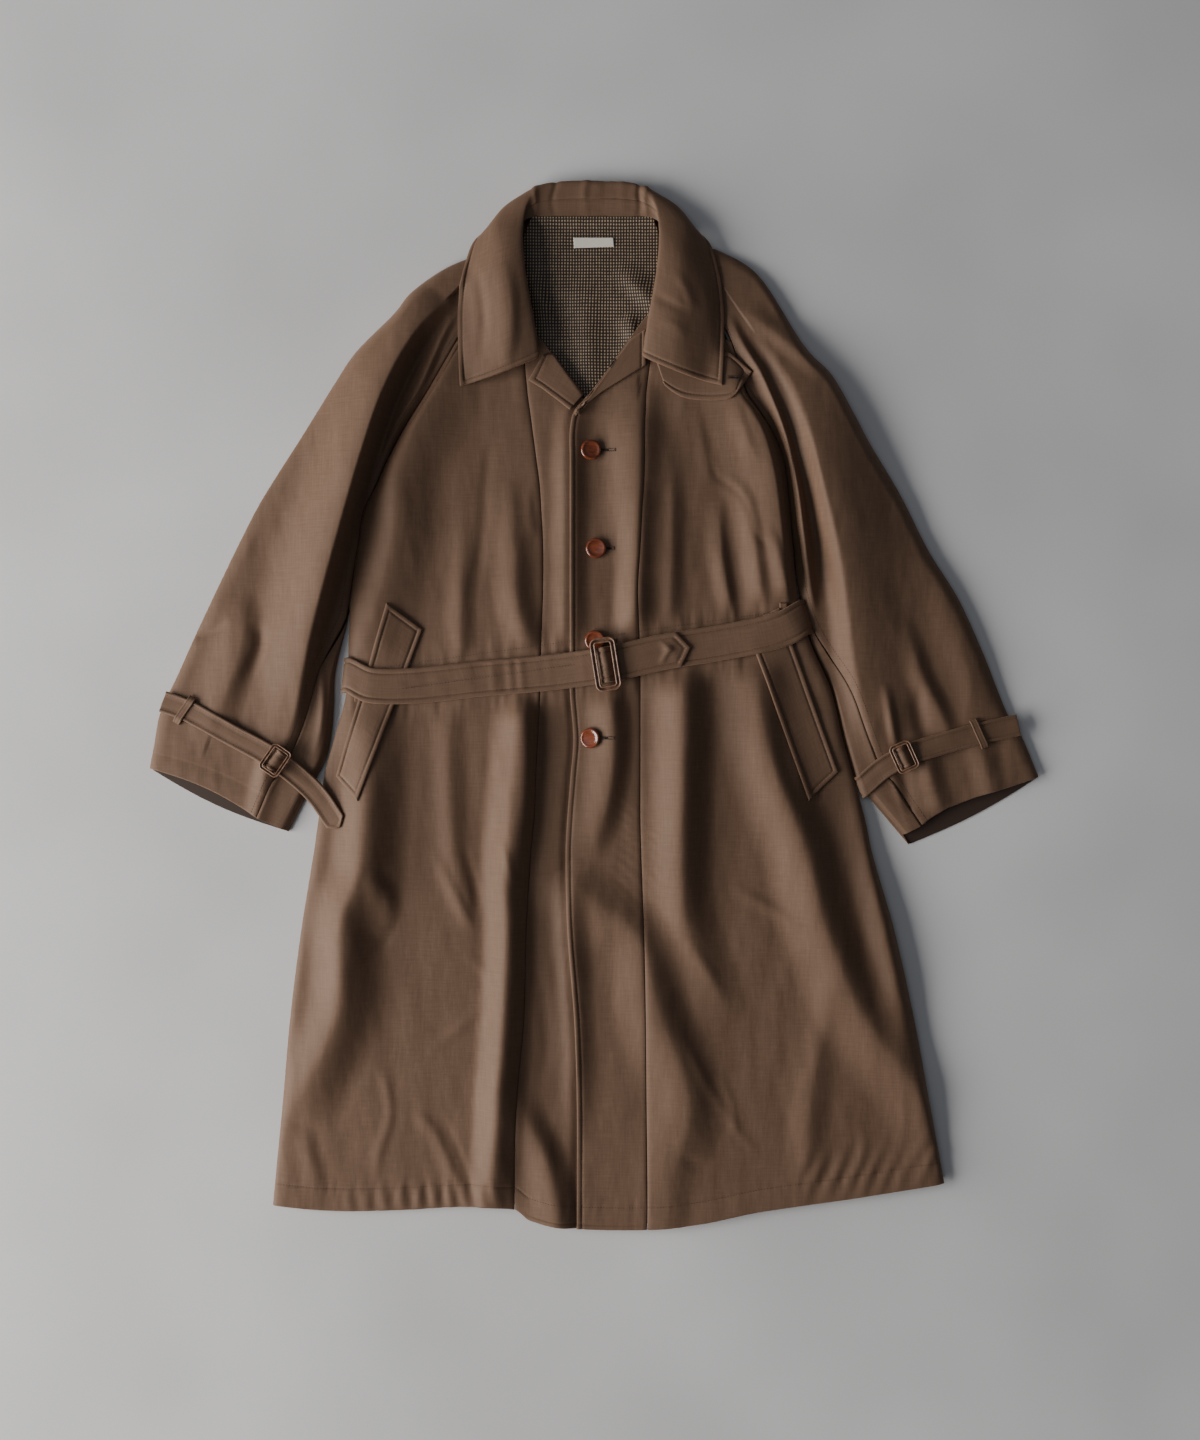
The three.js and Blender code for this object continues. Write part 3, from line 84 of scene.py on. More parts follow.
TOP_RIGHT = ((-159, 420), (-83, 436), (-68, 427), (-47, 402), (-28, 374), (-8, 348), (10, 358), (44, 398))
TOP_LEFT = ((-8, 356), (21, 395), (40, 422), (66, 450), (156, 419))

# ---- Folds: name, reach to the west and east of the crest, and the crest as (x, y, height) ---
BODY_FOLDS = (
    ("side roll of the chest, right", 42, 60,
     ((-183, 367, 8), (-205, 318, 13), (-226, 262, 15), (-229, 205, 15), (-240, 152, 13),
      (-255, 100, 10), (-267, 60, 8))),
    ("low chest pleat, right", 24, 20, ((-148, 215, 0), (-153, 165, 3), (-154, 110, 5), (-155, 57, 4))),
    ("chest pleat by the right seam", 30, 26,
     ((-98, 262, 0), (-95, 215, 4), (-93, 170, 6), (-90, 121, 8), (-80, 80, 8), (-74, 50, 7))),
    ("rise to the lap edge", 26, 26,
     ((-27, 330, 5), (-29, 270, 9), (-29, 190, 9), (-29, 121, 8), (-29, 50, 5))),
    ("chest roll by the left seam, high", 48, 36,
     ((50, 345, 5), (50, 305, 12), (50, 250, 14), (49, 200, 8), (47, 150, 0))),
    ("chest roll by the left seam, low", 28, 34,
     ((49, 250, 0), (49, 200, 7), (47, 150, 13), (45, 105, 14), (42, 55, 10))),
    ("soft pleat right of the left seam", 30, 20,
     ((78, 325, 0), (83, 285, 3), (87, 236, 5), (87, 170, 6), (86, 120, 5), (82, 70, 2))),
    ("side roll of the chest, left", 62, 17,
     ((174, 356, 8), (191, 316, 13), (204, 270, 15), (211, 224, 15), (217, 167, 14), (223, 98, 9))),
    ("first chest gather, left", 20, 12,
     ((143, 240, 0), (143, 200, 3), (147, 160, 5), (152, 130, 5), (158, 96, 3))),
    ("second chest gather, left", 24, 14,
     ((152, 264, 0), (171, 240, 3), (180, 205, 4.5), (184, 170, 5.5), (188, 140, 5.5), (193, 106, 3))),
    ("third chest gather, left", 14, 10, ((196, 205, 0), (206, 185, 2), (213, 155, 3), (221, 122, 2))),
    ("side roll of the skirt, right", 44, 52,
     ((-252, 10, 4), (-258, -57, 13), (-262, -110, 18), (-265, -160, 20), (-270, -200, 20),
      (-288, -240, 20), (-290, -300, 20), (-294, -350, 18), (-312, -400, 14), (-332, -440, 9),
      (-348, -480, 0))),
    ("knee ridge", 32, 26,
     ((-266, -202, 0), (-249, -211, 4), (-240, -226, 5), (-242, -244, 4), (-256, -264, 0))),
    ("low pleat, right", 26, 22,
     ((-168, 10, 2), (-168, -63, 4), (-166, -132, 4.5), (-162, -180, 3.5), (-150, -228, 2),
      (-140, -258, 0))),
    ("plateau by the right seam", 28, 24,
     ((-82, 20, 8), (-78, -50, 11), (-79, -110, 11), (-84, -160, 8), (-92, -208, 0))),
    ("main pleat, right", 32, 34,
     ((-88, 20, 7), (-94, -50, 12), (-98, -110, 15), (-101, -160, 17), (-102, -200, 18),
      (-100, -250, 19), (-101, -300, 19), (-104, -350, 19), (-107, -400, 19), (-111, -450, 19),
      (-114, -505, 17), (-119, -555, 11), (-124, -590, 5))),
    ("under front beside the lap", 24, 26,
     ((-31, -190, 0), (-30, -250, 8), (-25, -320, 8), (-22, -400, 7), (-21, -470, 3), (-21, -512, 0))),
    ("hem fold of the under front", 42, 26,
     ((-92, -437, 0), (-78, -478, 7), (-58, -518, 10), (-47, -558, 10), (-42, -610, 8))),
    ("button column roll", 38, 24,
     ((9, 46, 7), (17, 6, 10), (21, -40, 11), (18, -86, 10), (8, -132, 7), (-10, -178, 0))),
    ("pleat beside the left seam", 44, 40,
     ((100, 63, 13), (101, -17, 18), (100, -109, 19), (99, -178, 18), (103, -240, 14), (116, -285, 8),
      (136, -325, 5), (156, -370, 0))),
    ("drag fold across the left front", 60, 42,
     ((-40, -190, 0), (-23, -207, 5), (12, -238, 8), (50, -268, 11), (63, -315, 13), (75, -362, 14),
      (94, -405, 13), (106, -448, 12), (103, -494, 9), (90, -530, 6), (84, -570, 4), (80, -615, 2))),
    ("long fold, left", 56, 44,
     ((184, 52, 10), (191, -17, 15), (202, -65, 17), (218, -110, 18), (236, -155, 19), (250, -205, 19),
      (262, -250, 18), (280, -300, 16), (300, -345, 14), (332, -393, 12), (368, -440, 10),
      (398, -500, 4))),
    ("low fold, left", 30, 28,
     ((266, -300, 0), (265, -345, 3), (256, -400, 4), (248, -450, 5), (245, -500, 4), (246, -560, 0))),
    ("side roll of the skirt, left", 30, 30,
     ((300, -95, 0), (314, -170, 6), (330, -250, 9), (349, -340, 8), (367, -420, 0))),
)
SLEEVE_FOLDS_RIGHT = (
    ("long crest", 80, 18,
     ((-172, 464, 8), (-197, 438, 19), (-222, 400, 27), (-245, 350, 32), (-262, 300, 34),
      (-277, 250, 34), (-291, 200, 34), (-306, 146, 33), (-320, 95, 29), (-331, 50, 23), (-342, 0, 13),
      (-357, -48, 5))),
    ("raglan tuck", 9, 8,
     ((-158, 454, 0), (-172, 431, 4), (-187, 398, 5), (-204, 360, 5), (-218, 336, 5), (-231, 312, 4),
      (-241, 288, 0))),
    ("elbow ridge", 48, 26,
     ((-412, 128, 0), (-404, 90, 7), (-411, 50, 9), (-425, 12, 7), (-440, -30, 3))),
    ("cuff ridge", 20, 22, ((-368, -34, 0), (-377, -72, 6), (-390, -130, 5))),
    ("inner curl", 8, 8, ((-320, 60, 0), (-314, 22, 2.6), (-315, -25, 2.6), (-326, -68, 0))),
)
SLEEVE_FOLDS_LEFT = (
    ("inner roll", 12, 10,
     ((152, 452, 0), (170, 414, 5), (189, 382, 9), (203, 351, 12), (215, 320, 13), (223, 290, 13),
      (232, 248, 13), (238, 205, 13), (243, 165, 11), (248, 130, 6), (253, 100, 0))),
    ("long crest", 26, 125,
     ((186, 424, 3), (210, 388, 10), (232, 346, 17), (249, 300, 22), (262, 250, 25), (274, 200, 26),
      (284, 150, 24), (291, 100, 21), (298, 50, 17), (307, 10, 12), (319, -28, 8), (331, -60, 3))),
    ("upper ridge", 16, 20,
     ((160, 462, 0), (190, 440, 3), (216, 420, 4), (242, 396, 3), (264, 372, 0))),
    ("forearm ridge", 22, 18,
     ((354, 98, 0), (366, 60, 3), (379, 25, 5.5), (395, -5, 6), (409, -38, 3))),
    ("outer roll", 50, 40,
     ((364, 200, 0), (386, 150, 4), (408, 100, 6), (425, 50, 6), (438, 0, 4), (448, -40, 0))),
    ("first cuff ridge", 22, 22, ((372, -46, 0), (386, -75, 5), (403, -125, 5))),
    ("second cuff ridge", 24, 22, ((440, -34, 0), (450, -66, 5), (463, -115, 4))),
)

# Creases finer than the folds: troughs have a negative height.
BODY_CREASES = (
    ("hem ridge", 11, 10,
     ((-250, -408, 0), (-239, -440, 2.6), (-236, -475, 3), (-248, -515, 2.6), (-252, -556, 0))),
    ("hem ridge", 16, 8,
     ((-214, -470, 0), (-197, -476, 2.4), (-182, -496, 3.6), (-167, -530, 4), (-155, -560, 2),
      (-151, -582, 0))),
    ("hem trough", 8, 8, ((-184, -466, 0), (-166, -496, -2), (-150, -534, -2), (-141, -562, 0))),
    ("low side ridge", 18, 14, ((-338, -486, 0), (-330, -512, 3.5), (-322, -545, 3), (-318, -578, 0))),
    ("knee trough", 11, 11,
     ((-258, -190, 0), (-240, -198, -1.6), (-227, -220, -2), (-227, -244, -2), (-241, -272, -1.6),
      (-268, -298, 0))),
    ("thigh ridge", 14, 9,
     ((-190, -160, 0), (-175, -190, 2.4), (-162, -216, 3.6), (-148, -244, 3.4), (-138, -262, 0))),
    ("thigh trough", 9, 9, ((-154, -156, 0), (-144, -188, -2.6), (-137, -220, -3.4), (-138, -250, 0))),
    ("crease by the seam", 9, 8, ((-122, -138, 0), (-108, -160, 2), (-98, -185, 2.4), (-94, -214, 0))),
    ("crossed crease", 10, 10,
     ((-152, -288, 0), (-138, -296, 1.6), (-124, -312, 1.6), (-116, -332, 0))),
    ("low slanting crease", 12, 12,
     ((-196, -400, 0), (-172, -384, 1.8), (-148, -366, 2), (-130, -344, 0))),
    ("seam shade", 14, 14, ((-68, -300, 0), (-60, -345, -2.6), (-56, -400, -2.6), (-64, -440, 0))),
    ("long dent", 12, 12,
     ((-120, 310, 0), (-126, 262, -2.2), (-128, 215, -2.6), (-133, 165, -2.2), (-138, 118, 0))),
    ("dart shade", 10, 9, ((-74, 262, 0), (-76, 232, 1.8), (-72, 205, 1.8), (-66, 190, 0))),
    ("drag ridge", 13, 12, ((156, -206, 0), (176, -220, 2.6), (206, -236, 2.8), (244, -262, 0))),
    ("thin ridge", 11, 9,
     ((98, -372, 0), (112, -402, 2.2), (131, -440, 2.8), (151, -470, 2.4), (173, -500, 1.6),
      (194, -526, 0))),
    ("thin ridge", 10, 9, ((140, -420, 0), (153, -448, 2), (160, -480, 2), (150, -512, 0))),
    ("hem dent", 14, 12, ((92, -508, 0), (106, -522, -2), (122, -530, -2), (140, -528, 0))),
    ("slanting streak", 14, 12, ((100, -262, 0), (118, -288, 2), (138, -318, 2.2), (152, -352, 0))),
    ("hem ridge", 8, 10, ((300, -466, 0), (308, -510, 1.4), (300, -552, 0))),
    ("hem ridge", 9, 10, ((352, -436, 0), (354, -480, 1.6), (342, -530, 0))),
    ("hem ridge", 7, 8, ((384, -502, 0), (381, -530, 1.2), (368, -556, 0))),
    ("gather trough", 7, 7,
     ((132, 284, 0), (141, 262, -1.6), (156, 251, -1.8), (170, 237, -1.8), (179, 214, -1.8),
      (184, 195, -1.6), (196, 183, -1), (205, 176, 0))),
    ("shoulder pleat", 18, 10, ((158, 358, 0), (166, 330, 2.6), (176, 300, 2.6), (188, 274, 0))),
    ("breast pleat", 14, 12, ((118, 348, 0), (122, 310, 2), (128, 275, 2), (130, 240, 0))),
    ("pocket crease", 14, 14, ((206, -4, 0), (214, -50, -2.4), (226, -92, -2.6), (246, -130, 0))),
)
SLEEVE_CREASES_RIGHT = (
    ("valley", 12, 11,
     ((-184, 438, 0), (-207, 394, -4), (-228, 352, -5), (-244, 310, -5), (-257, 268, -4),
      (-268, 216, -3), (-279, 165, 0))),
    ("elbow notch", 11, 11, ((-480, 78, 0), (-458, 80, -3.5), (-438, 86, -2.5), (-420, 96, 0))),
    ("elbow dent", 12, 12, ((-392, 96, 0), (-384, 74, -3), (-394, 46, -2.6), (-408, 16, 0))),
    ("long shade", 22, 22, ((-405, 190, 0), (-392, 215, -1.5), (-372, 246, -1.6), (-352, 282, 0))),
)
SLEEVE_CREASES_LEFT = (
    ("valley", 12, 12,
     ((172, 436, 0), (197, 396, -3), (219, 360, -4), (238, 305, -5), (247, 260, -5), (255, 215, -5),
      (262, 170, -4), (268, 130, -2), (274, 95, 0))),
    ("buckle pleat", 9, 10, ((332, 26, 0), (338, -6, 3.4), (344, -36, 3.8), (350, -58, 0))),
    ("wrist dent", 16, 14, ((372, 24, 0), (372, -6, -3), (378, -30, -3), (388, -50, 0))),
    ("cuff dent", 14, 14, ((352, -66, 0), (360, -90, -2.6), (370, -125, -2.6))),
)

# ---- Sleeves: outer x, y and inner x, y of each section, and where the inner-arm seam lies ---
SLEEVE_RIGHT = (
    (-132, 520, -142, 452, 1), (-160, 510, -159, 424, 1), (-184, 497, -168, 408, 1),
    (-213, 475, -180, 386, 1), (-233, 450, -191, 365, 1), (-275, 408, -210, 334, 1),
    (-301, 370, -227, 306, 1), (-337, 312, -246, 267, 1), (-369, 262, -268, 218, 1),
    (-389, 229, -275, 171, 1), (-407, 194, -281, 130, 1), (-428, 151, -291, 92, 0.97),
    (-460, 83, -305, 40, 0.9), (-482, 34, -307, 0, 0.86), (-497, 3, -310, -34, 0.83),
    (-504, -17, -318, -69, 0.8), (-509, -46, -335, -108, 0.78), (-514, -73, -354, -146, 0.78),
)
SLEEVE_LEFT = (
    (126, 528, 136, 464, 1), (146, 523, 158, 418, 1), (190, 494, 175, 361, 1), (241, 415, 199, 322, 1),
    (273, 381, 212, 297, 1), (299, 336, 220, 266, 1), (317, 302, 224, 236, 1), (352, 243, 229, 176, 1),
    (385, 178, 241, 112, 0.98), (419, 123, 261, 50, 0.925), (447, 62, 280, -8, 0.875),
    (475, -8, 300, -76, 0.84), (493, -37, 318, -108, 0.83), (512, -83, 362, -161, 0.86),
)
SLEEVE_SEAM_LIFT = 4.4
SLEEVE_EDGE_ROUND = 15.0
SLEEVE_OPENS_OVER = 0.12
SLEEVE_MOUTH = 5.4  # how high the turned free edge stands
SLEEVE_STITCH = 6.5

# ---- Belt, straps and trims ------------------------------------------------------------
BELT_LINE = ((-289, 34), (-262, 23), (-210, 22), (-132, 30), (-63, 36), (-7, 43), (23, 48), (75, 60),
             (130, 69), (184, 79), (217, 88), (243, 101))
BELT_BACK_RIGHT = 34.0
BELT_BACK_LEFT = 101.0
LEFT_WRAP = ((236, 15), (241.5, 12.5), (244, 8.5), (244, 5.5), (241, 2.6), (234, 2.5))
RIGHT_WRAP = ((-278, 2.5), (-285.5, 2.6), (-288, 5.5), (-288, 8.5), (-285.5, 12), (-280, 14))
BELT_TIP_X = 96.0
BELT_TIP_POINT = 14.0
BUCKLE_X = 12.0
BUCKLE_Y = 46.5
COLLAR = (  # neck, seam of stand and fall, roll, over, edge
    ((-66, 407, 11), (-68, 401, 17), (-63, 400, 20.5), (-101, 382, 26), (-155, 366, 12)),
    ((-80, 452, 11), (-80, 450, 17), (-71, 452, 25), (-102, 436, 31), (-158, 418, 12)),
    ((-89, 496, 13), (-88, 497, 18), (-79, 498, 27), (-106, 483, 32), (-157, 464, 12)),
    ((-91, 524, 13.5), (-90, 528, 18), (-82, 530, 26), (-107, 521, 30), (-150, 506, 12)),
    ((-88, 545, 13.5), (-86, 552, 18), (-81, 557, 22), (-113, 553, 21), (-139, 535, 9)),
    ((-80, 557, 13), (-76, 570, 16.5), (-76, 580, 19), (-106, 572, 12), (-117, 546, 1.4)),
    ((-68, 561, 12), (-63, 578, 14.5), (-65, 595, 15), (-83, 585, 5.6), (-92, 530, 0.4)),
    ((-46, 561, 11.5), (-44, 581, 13.6), (-47, 601, 12.6), (-52, 596, 3.4), (-56, 526, 0.2)),
    ((-4.5, 561, 11.5), (-4.5, 582, 13.4), (-4.5, 603, 12), (-4.5, 599, 3), (-4.5, 524, 0.2)),
)
BUTTONS = ((-5, 293), (1, 180), (0, 74), (-5, -38))
WELTS = (  # side, corners: inner top and end, outer top and end
    ("right", (-198, 87), (-271, -110), (-239, 117), (-298, -82)),
    ("left", (172, 92), (245, -110), (212, 112), (280, -77)),
)


# ---- Small tools ------------------------------------------------------------
def mix(a, b, t):
    return a + (b - a) * t


def smooth(t):
    t = np.clip(t, 0, 1)
    return t * t * (3 - 2 * t)


def reader(at, value):
    """A smooth curve through the rows of a table, read at any place."""
    at, value = np.asarray(at, float), np.asarray(value, float)
    order = np.argsort(at)
    at, value = at[order], value[order]
    slope = np.empty_like(value)
    slope[1:-1] = (value[2:] - value[:-2]) / (at[2:] - at[:-2])
    slope[0] = (value[1] - value[0]) / (at[1] - at[0])
    slope[-1] = (value[-1] - value[-2]) / (at[-1] - at[-2])

    def read(where):
        w = np.clip(where, at[0], at[-1])
        i = np.clip(np.searchsorted(at, w, side="right") - 1, 0, len(at) - 2)
        span = at[i + 1] - at[i]
        t = (w - at[i]) / span
        t2, t3 = t * t, t * t * t
        return ((2 * t3 - 3 * t2 + 1) * value[i] + (t3 - 2 * t2 + t) * span * slope[i]
                + (3 * t2 - 2 * t3) * value[i + 1] + (t3 - t2) * span * slope[i + 1])

    return read


def columns_of(rows, key):
    return [row[key] for row in rows]


level = {key: reader(columns_of(LEVELS, 0), columns_of(LEVELS, k + 1))
         for k, key in enumerate(("right_edge", "right_seam", "lap_edge", "left_seam", "left_edge"))}
hem_y = reader(columns_of(HEM, 0), columns_of(HEM, 1))
top_right_y = reader(columns_of(TOP_RIGHT, 0), columns_of(TOP_RIGHT, 1))
top_left_y = reader(columns_of(TOP_LEFT, 0), columns_of(TOP_LEFT, 1))
belt_y = reader(columns_of(BELT_LINE, 0), columns_of(BELT_LINE, 1))


def curve_through(points, steps):
    """A smooth open curve through points, with `steps` stretches between neighbours."""
    p = np.asarray(points, float)
    p = np.vstack([2 * p[0] - p[1], p, 2 * p[-1] - p[-2]])
    gaps = np.maximum(np.linalg.norm(np.diff(p, axis=0), axis=1), 1e-6)
    knots = np.concatenate([[0], np.cumsum(gaps ** 0.5)])
    out = []
    for i in range(1, len(p) - 2):
        k = knots[i - 1:i + 3]
        last = i == len(p) - 3
        for t in np.linspace(k[1], k[2], steps + 1)[:None if last else -1]:
            a1 = (k[1] - t) / (k[1] - k[0]) * p[i - 1] + (t - k[0]) / (k[1] - k[0]) * p[i]
            a2 = (k[2] - t) / (k[2] - k[1]) * p[i] + (t - k[1]) / (k[2] - k[1]) * p[i + 1]
            a3 = (k[3] - t) / (k[3] - k[2]) * p[i + 1] + (t - k[2]) / (k[3] - k[2]) * p[i + 2]
            b1 = (k[2] - t) / (k[2] - k[0]) * a1 + (t - k[0]) / (k[2] - k[0]) * a2
            b2 = (k[3] - t) / (k[3] - k[1]) * a2 + (t - k[1]) / (k[3] - k[1]) * a3
            out.append((k[2] - t) / (k[2] - k[1]) * b1 + (t - k[1]) / (k[2] - k[1]) * b2)
    return np.array(out)


def fold_field(folds, steps=4):
    """The sum of the folds' heights at places in plan."""
    crests = [(west, east, curve_through(path, steps)) for _, west, east, path in folds]

    def read(x, y):
        height = np.zeros_like(x)
        for west, east, points in crests:
            reach = max(west, east)
            low, high = points.min(axis=0) - reach, points.max(axis=0) + reach
            near = (x > low[0]) & (x < high[0]) & (y > low[1]) & (y < high[1])
            if not near.any():
                continue
            px, py = x[near], y[near]
            nearest = np.full(px.shape, np.inf)
            share, crest = np.zeros(px.shape), np.zeros(px.shape)
            for a, b in zip(points[:-1], points[1:]):
                dx, dy = b[0] - a[0], b[1] - a[1]
                t = np.clip(((px - a[0]) * dx + (py - a[1]) * dy) / (dx * dx + dy * dy), 0, 1)
                away = np.hypot(px - a[0] - dx * t, py - a[1] - dy * t)
                closer = away < nearest
                side = np.where(dx * (py - a[1]) - dy * (px - a[0]) > 0, east, west)
                nearest = np.where(closer, away, nearest)
                share = np.where(closer, away / side, share)
                crest = np.where(closer, mix(a[2], b[2], t), crest)
            fall = np.cos(np.pi * np.minimum(share, 1) ** 0.88)
            height[near] += np.where(share < 1, crest * (1 + fall) / 2, 0)
        return height

    return read


def soft_noise(x, y, size_x, size_y, seed):
    """Smooth unevenness between -1 and 1, with bumps of the given size."""
    lattice = np.random.RandomState(seed).rand(64, 64) * 2 - 1
    u, v = x / size_x, y / size_y
    i, j = np.floor(u).astype(int), np.floor(v).astype(int)
    s, t = smooth(u - i), smooth(v - j)
    at = lambda a, b: lattice[(j + b) % 64, (i + a) % 64]
    return mix(mix(at(0, 0), at(1, 0), s), mix(at(0, 1), at(1, 1), s), t)


# ---- Heights ------------------------------------------------------------
body_folds = fold_field(BODY_FOLDS)
body_creases = fold_field(BODY_CREASES)


def belt_back_share(x):
    """How far across the coat's back a place is, from the belt's right end to its left."""
    return (x - BELT_LINE[0][0]) / (BELT_LINE[-1][0] - BELT_LINE[0][0])


def back_lift(x, y):
    """How far the belt and the collar, which pass under the coat, lift it off the floor."""
    back_y = mix(BELT_BACK_RIGHT, BELT_BACK_LEFT, belt_back_share(x))
    over_belt = 1 - smooth((np.abs(y - back_y) - LIFT_REACH) / LIFT_RAMP)
    return np.maximum(BELT_LIFT * over_belt, COLLAR_LIFT * smooth((y - COLLAR_LIFT_Y) / LIFT_RAMP))


def rounded_edge(distance, reach):
    t = np.clip(1 - distance / reach, 0, 1)
    return np.sqrt(1 - t * t)


def sewn_share(y):
    """How far the raglan seam is pulled level with the cloth: not at the underarm, fully by the collar."""
    return smooth((y - 280) / 90)


def puckers(x, y):
    """Small puckers along the hem and by the left seam."""
    from_hem = y - hem_y(x)
    right = np.exp(-((from_hem - 14) / 16) ** 2) * smooth((-90 - x) / 30) * smooth((x + 300) / 30)
    left = np.exp(-((from_hem - 34) / 26) ** 2) * smooth((x - 225) / 30) * smooth((408 - x) / 20)
    seam = (np.exp(-(((x - 36) / 13) ** 2)) * smooth((-90 - y) / 40) * smooth((y + 265) / 40)
            + 0.8 * np.exp(-(((x - 68) / 11) ** 2)) * smooth((-125 - y) / 25) * smooth((y + 225) / 40))
    hem_all = np.exp(-((from_hem - HEM_STITCH) / 9) ** 2)
    drift = 9 * soft_noise(x, y, 70, 60, 3)
    size = 0.55 + 0.45 * soft_noise(x, y, 34, 46, 5)
    return size * (
        1.5 * right * np.sin((x + 0.25 * from_hem + drift) * 2 * np.pi / 19)
        + 1.2 * left * np.sin((x - 0.55 * from_hem + drift) * 2 * np.pi / 23)
        + 0.8 * seam * np.sin((y + 0.8 * x + drift) * 2 * np.pi / 14)
        + 0.35 * hem_all * np.sin((x + drift) * 2 * np.pi / 11))


def body_height(x, y):
    from_belt = (y - belt_y(x)) / BELT_PRESS_REACH
    press = 1 - BELT_PRESS * np.exp(-(from_belt ** 4))
    lift = BODY_LIFT + press * (body_folds(x, y) + 0.5 * body_creases(x, y))
    lift = lift + puckers(x, y)
    lift = lift + 0.55 * soft_noise(x, y, 26, 90, 7) + 0.3 * soft_noise(x, y, 11, 34, 8)
    crinkle = np.exp(-((np.abs(y - belt_y(x)) - 27) / 15) ** 2)
    lift = lift + crinkle * (0.9 * soft_noise(x, y, 9, 40, 11) + 0.5 * soft_noise(x, y, 5, 26, 12))
    base = mix(EDGE_LIFT, BODY_LIFT - 1.2, sewn_share(y))
    edge = (rounded_edge(x - level["right_edge"](y), EDGE_ROUND)
            * rounded_edge(level["left_edge"](y) - x, EDGE_ROUND))
    return back_lift(x, y) + base + (lift - base) * edge


def over_height(x, y):
    return body_height(x, y) + LAP_STEP


def under_height(x, y):
    return body_height(x, y) - LAP_STEP * smooth((x - level["lap_edge"](y) + LAP_RAMP) / LAP_RAMP)


# ---- Meshes ------------------------------------------------------------
def edge_roll(distance, radius=1.3):
    """How far the cloth turns down at its very edge."""
    d = np.clip(radius - distance, 0, radius)
    return radius - np.sqrt(np.maximum(radius * radius - d * d, 0))


def stitch_groove(distance, at=EDGE_STITCH, depth=0.7, width=1.1):
    """The line that a row of stitches pulls in, with the cloth a little fuller between it and the edge."""
    fuller = 0.3 * np.exp(-((distance - at * 0.5) / (at * 0.3)) ** 2)
    return fuller - depth * np.exp(-((distance - at) / width) ** 2)


CLOSE = (0, 0.4, 0.9, 1.5, 3.0, 4.6, 5.4, 6.0, 6.6, 7.6, 9.5)
CLOSE_PLAIN = (0, 0.4, 0.9, 1.5, 3.0, 5.5, 9.0)
CLOSE_HEM = (0, 0.4, 0.9, 1.5, 3.0, 4.6, 5.4, 6.0, 6.6, 7.6, 10, 14, 18, 21.5, 24, 25.2, 26, 26.8,
             28, 30.5, 34)


def grid_mesh(name, x, y, z, uv=None, cell=None):
    """A mesh from a bmesh grid whose vertices take the places given row by row, in millimetres.
    Its faces are turned so that the one named in `cell` looks up or down."""
    rows, columns = x.shape
    bm = bmesh.new()
    bmesh.ops.create_grid(bm, x_segments=columns - 1, y_segments=rows - 1, size=1)
    bm.loops.layers.uv.new("cloth")
    mesh = bpy.data.meshes.new(name)
    bm.to_mesh(mesh)
    bm.free()
    count = len(mesh.vertices)
    assert count == rows * columns, (name, count, rows, columns)
    co = np.empty(count * 3)
    mesh.vertices.foreach_get("co", co)
    co = co.reshape(-1, 3)
    j = np.rint((co[:, 0] + 1) / 2 * (columns - 1)).astype(int)
    i = np.rint((co[:, 1] + 1) / 2 * (rows - 1)).astype(int)
    place = (np.stack([x, y, z], axis=-1) + CENTRE) * MM
    mesh.vertices.foreach_set("co", place[i, j].ravel())
    loop_vertex = np.empty(len(mesh.loops), dtype=np.int32)
    mesh.loops.foreach_get("vertex_index", loop_vertex)
    flat = np.stack((x, y) if uv is None else uv, axis=-1)[i, j][loop_vertex] * MM
    mesh.uv_layers["cloth"].data.foreach_set("uv", flat.ravel())
    mesh.polygons.foreach_set("use_smooth", np.ones(len(mesh.polygons), dtype=bool))
    mesh.update()
    looks, m, n = cell or ("up", rows // 2, columns // 2)
    centre = place[m:m + 2, n:n + 2].reshape(-1, 3).mean(axis=0)
    centres = np.empty(len(mesh.polygons) * 3)
    mesh.polygons.foreach_get("center", centres)
    face = mesh.polygons[int(np.argmin(np.linalg.norm(centres.reshape(-1, 3) - centre, axis=1)))]
    if (face.normal.z > 0) != (looks == "up"):
        mesh.flip_normals()
    return mesh


def piece(name, mesh, material, nodes, wall=None):
    """A finished piece: thickened, painted, riding on the coat and standing for its solids."""
    assert name not in bpy.data.objects, name
    obj = bpy.data.objects.new(name, mesh)
    bpy.context.scene.collection.objects.link(obj)
    mesh.materials.append(material)
    if wall:
        solid = obj.modifiers.new("cloth thickness", "SOLIDIFY")
        solid.thickness = wall * MM
        solid.offset = -1
    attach(obj, "root")
    if nodes:
        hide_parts(*nodes)
    return obj


# ---- The bed: heights of everything laid so far, on a grid of 1 mm cells ---------------------
BED_HALF = 640
bed = np.zeros((2 * BED_HALF + 1, 2 * BED_HALF + 1))


def lay(x, y, z, finer=4):
    """Adds a grid of outer points to the bed."""
    def refine(a):
        rows, columns = a.shape
        r = np.linspace(0, rows - 1, (rows - 1) * finer + 1)
        i = np.minimum(r.astype(int), rows - 2)
        a = mix(a[i], a[i + 1], (r - i)[:, None])
        c = np.linspace(0, columns - 1, (columns - 1) * finer + 1)
        j = np.minimum(c.astype(int), columns - 2)
        return mix(a[:, j], a[:, j + 1], c - j)

    x, y, z = refine(x), refine(y), refine(z)
    i = np.clip(np.rint(x).astype(int) + BED_HALF, 0, 2 * BED_HALF)
    j = np.clip(np.rint(y).astype(int) + BED_HALF, 0, 2 * BED_HALF)
    np.maximum.at(bed, (j, i), z)


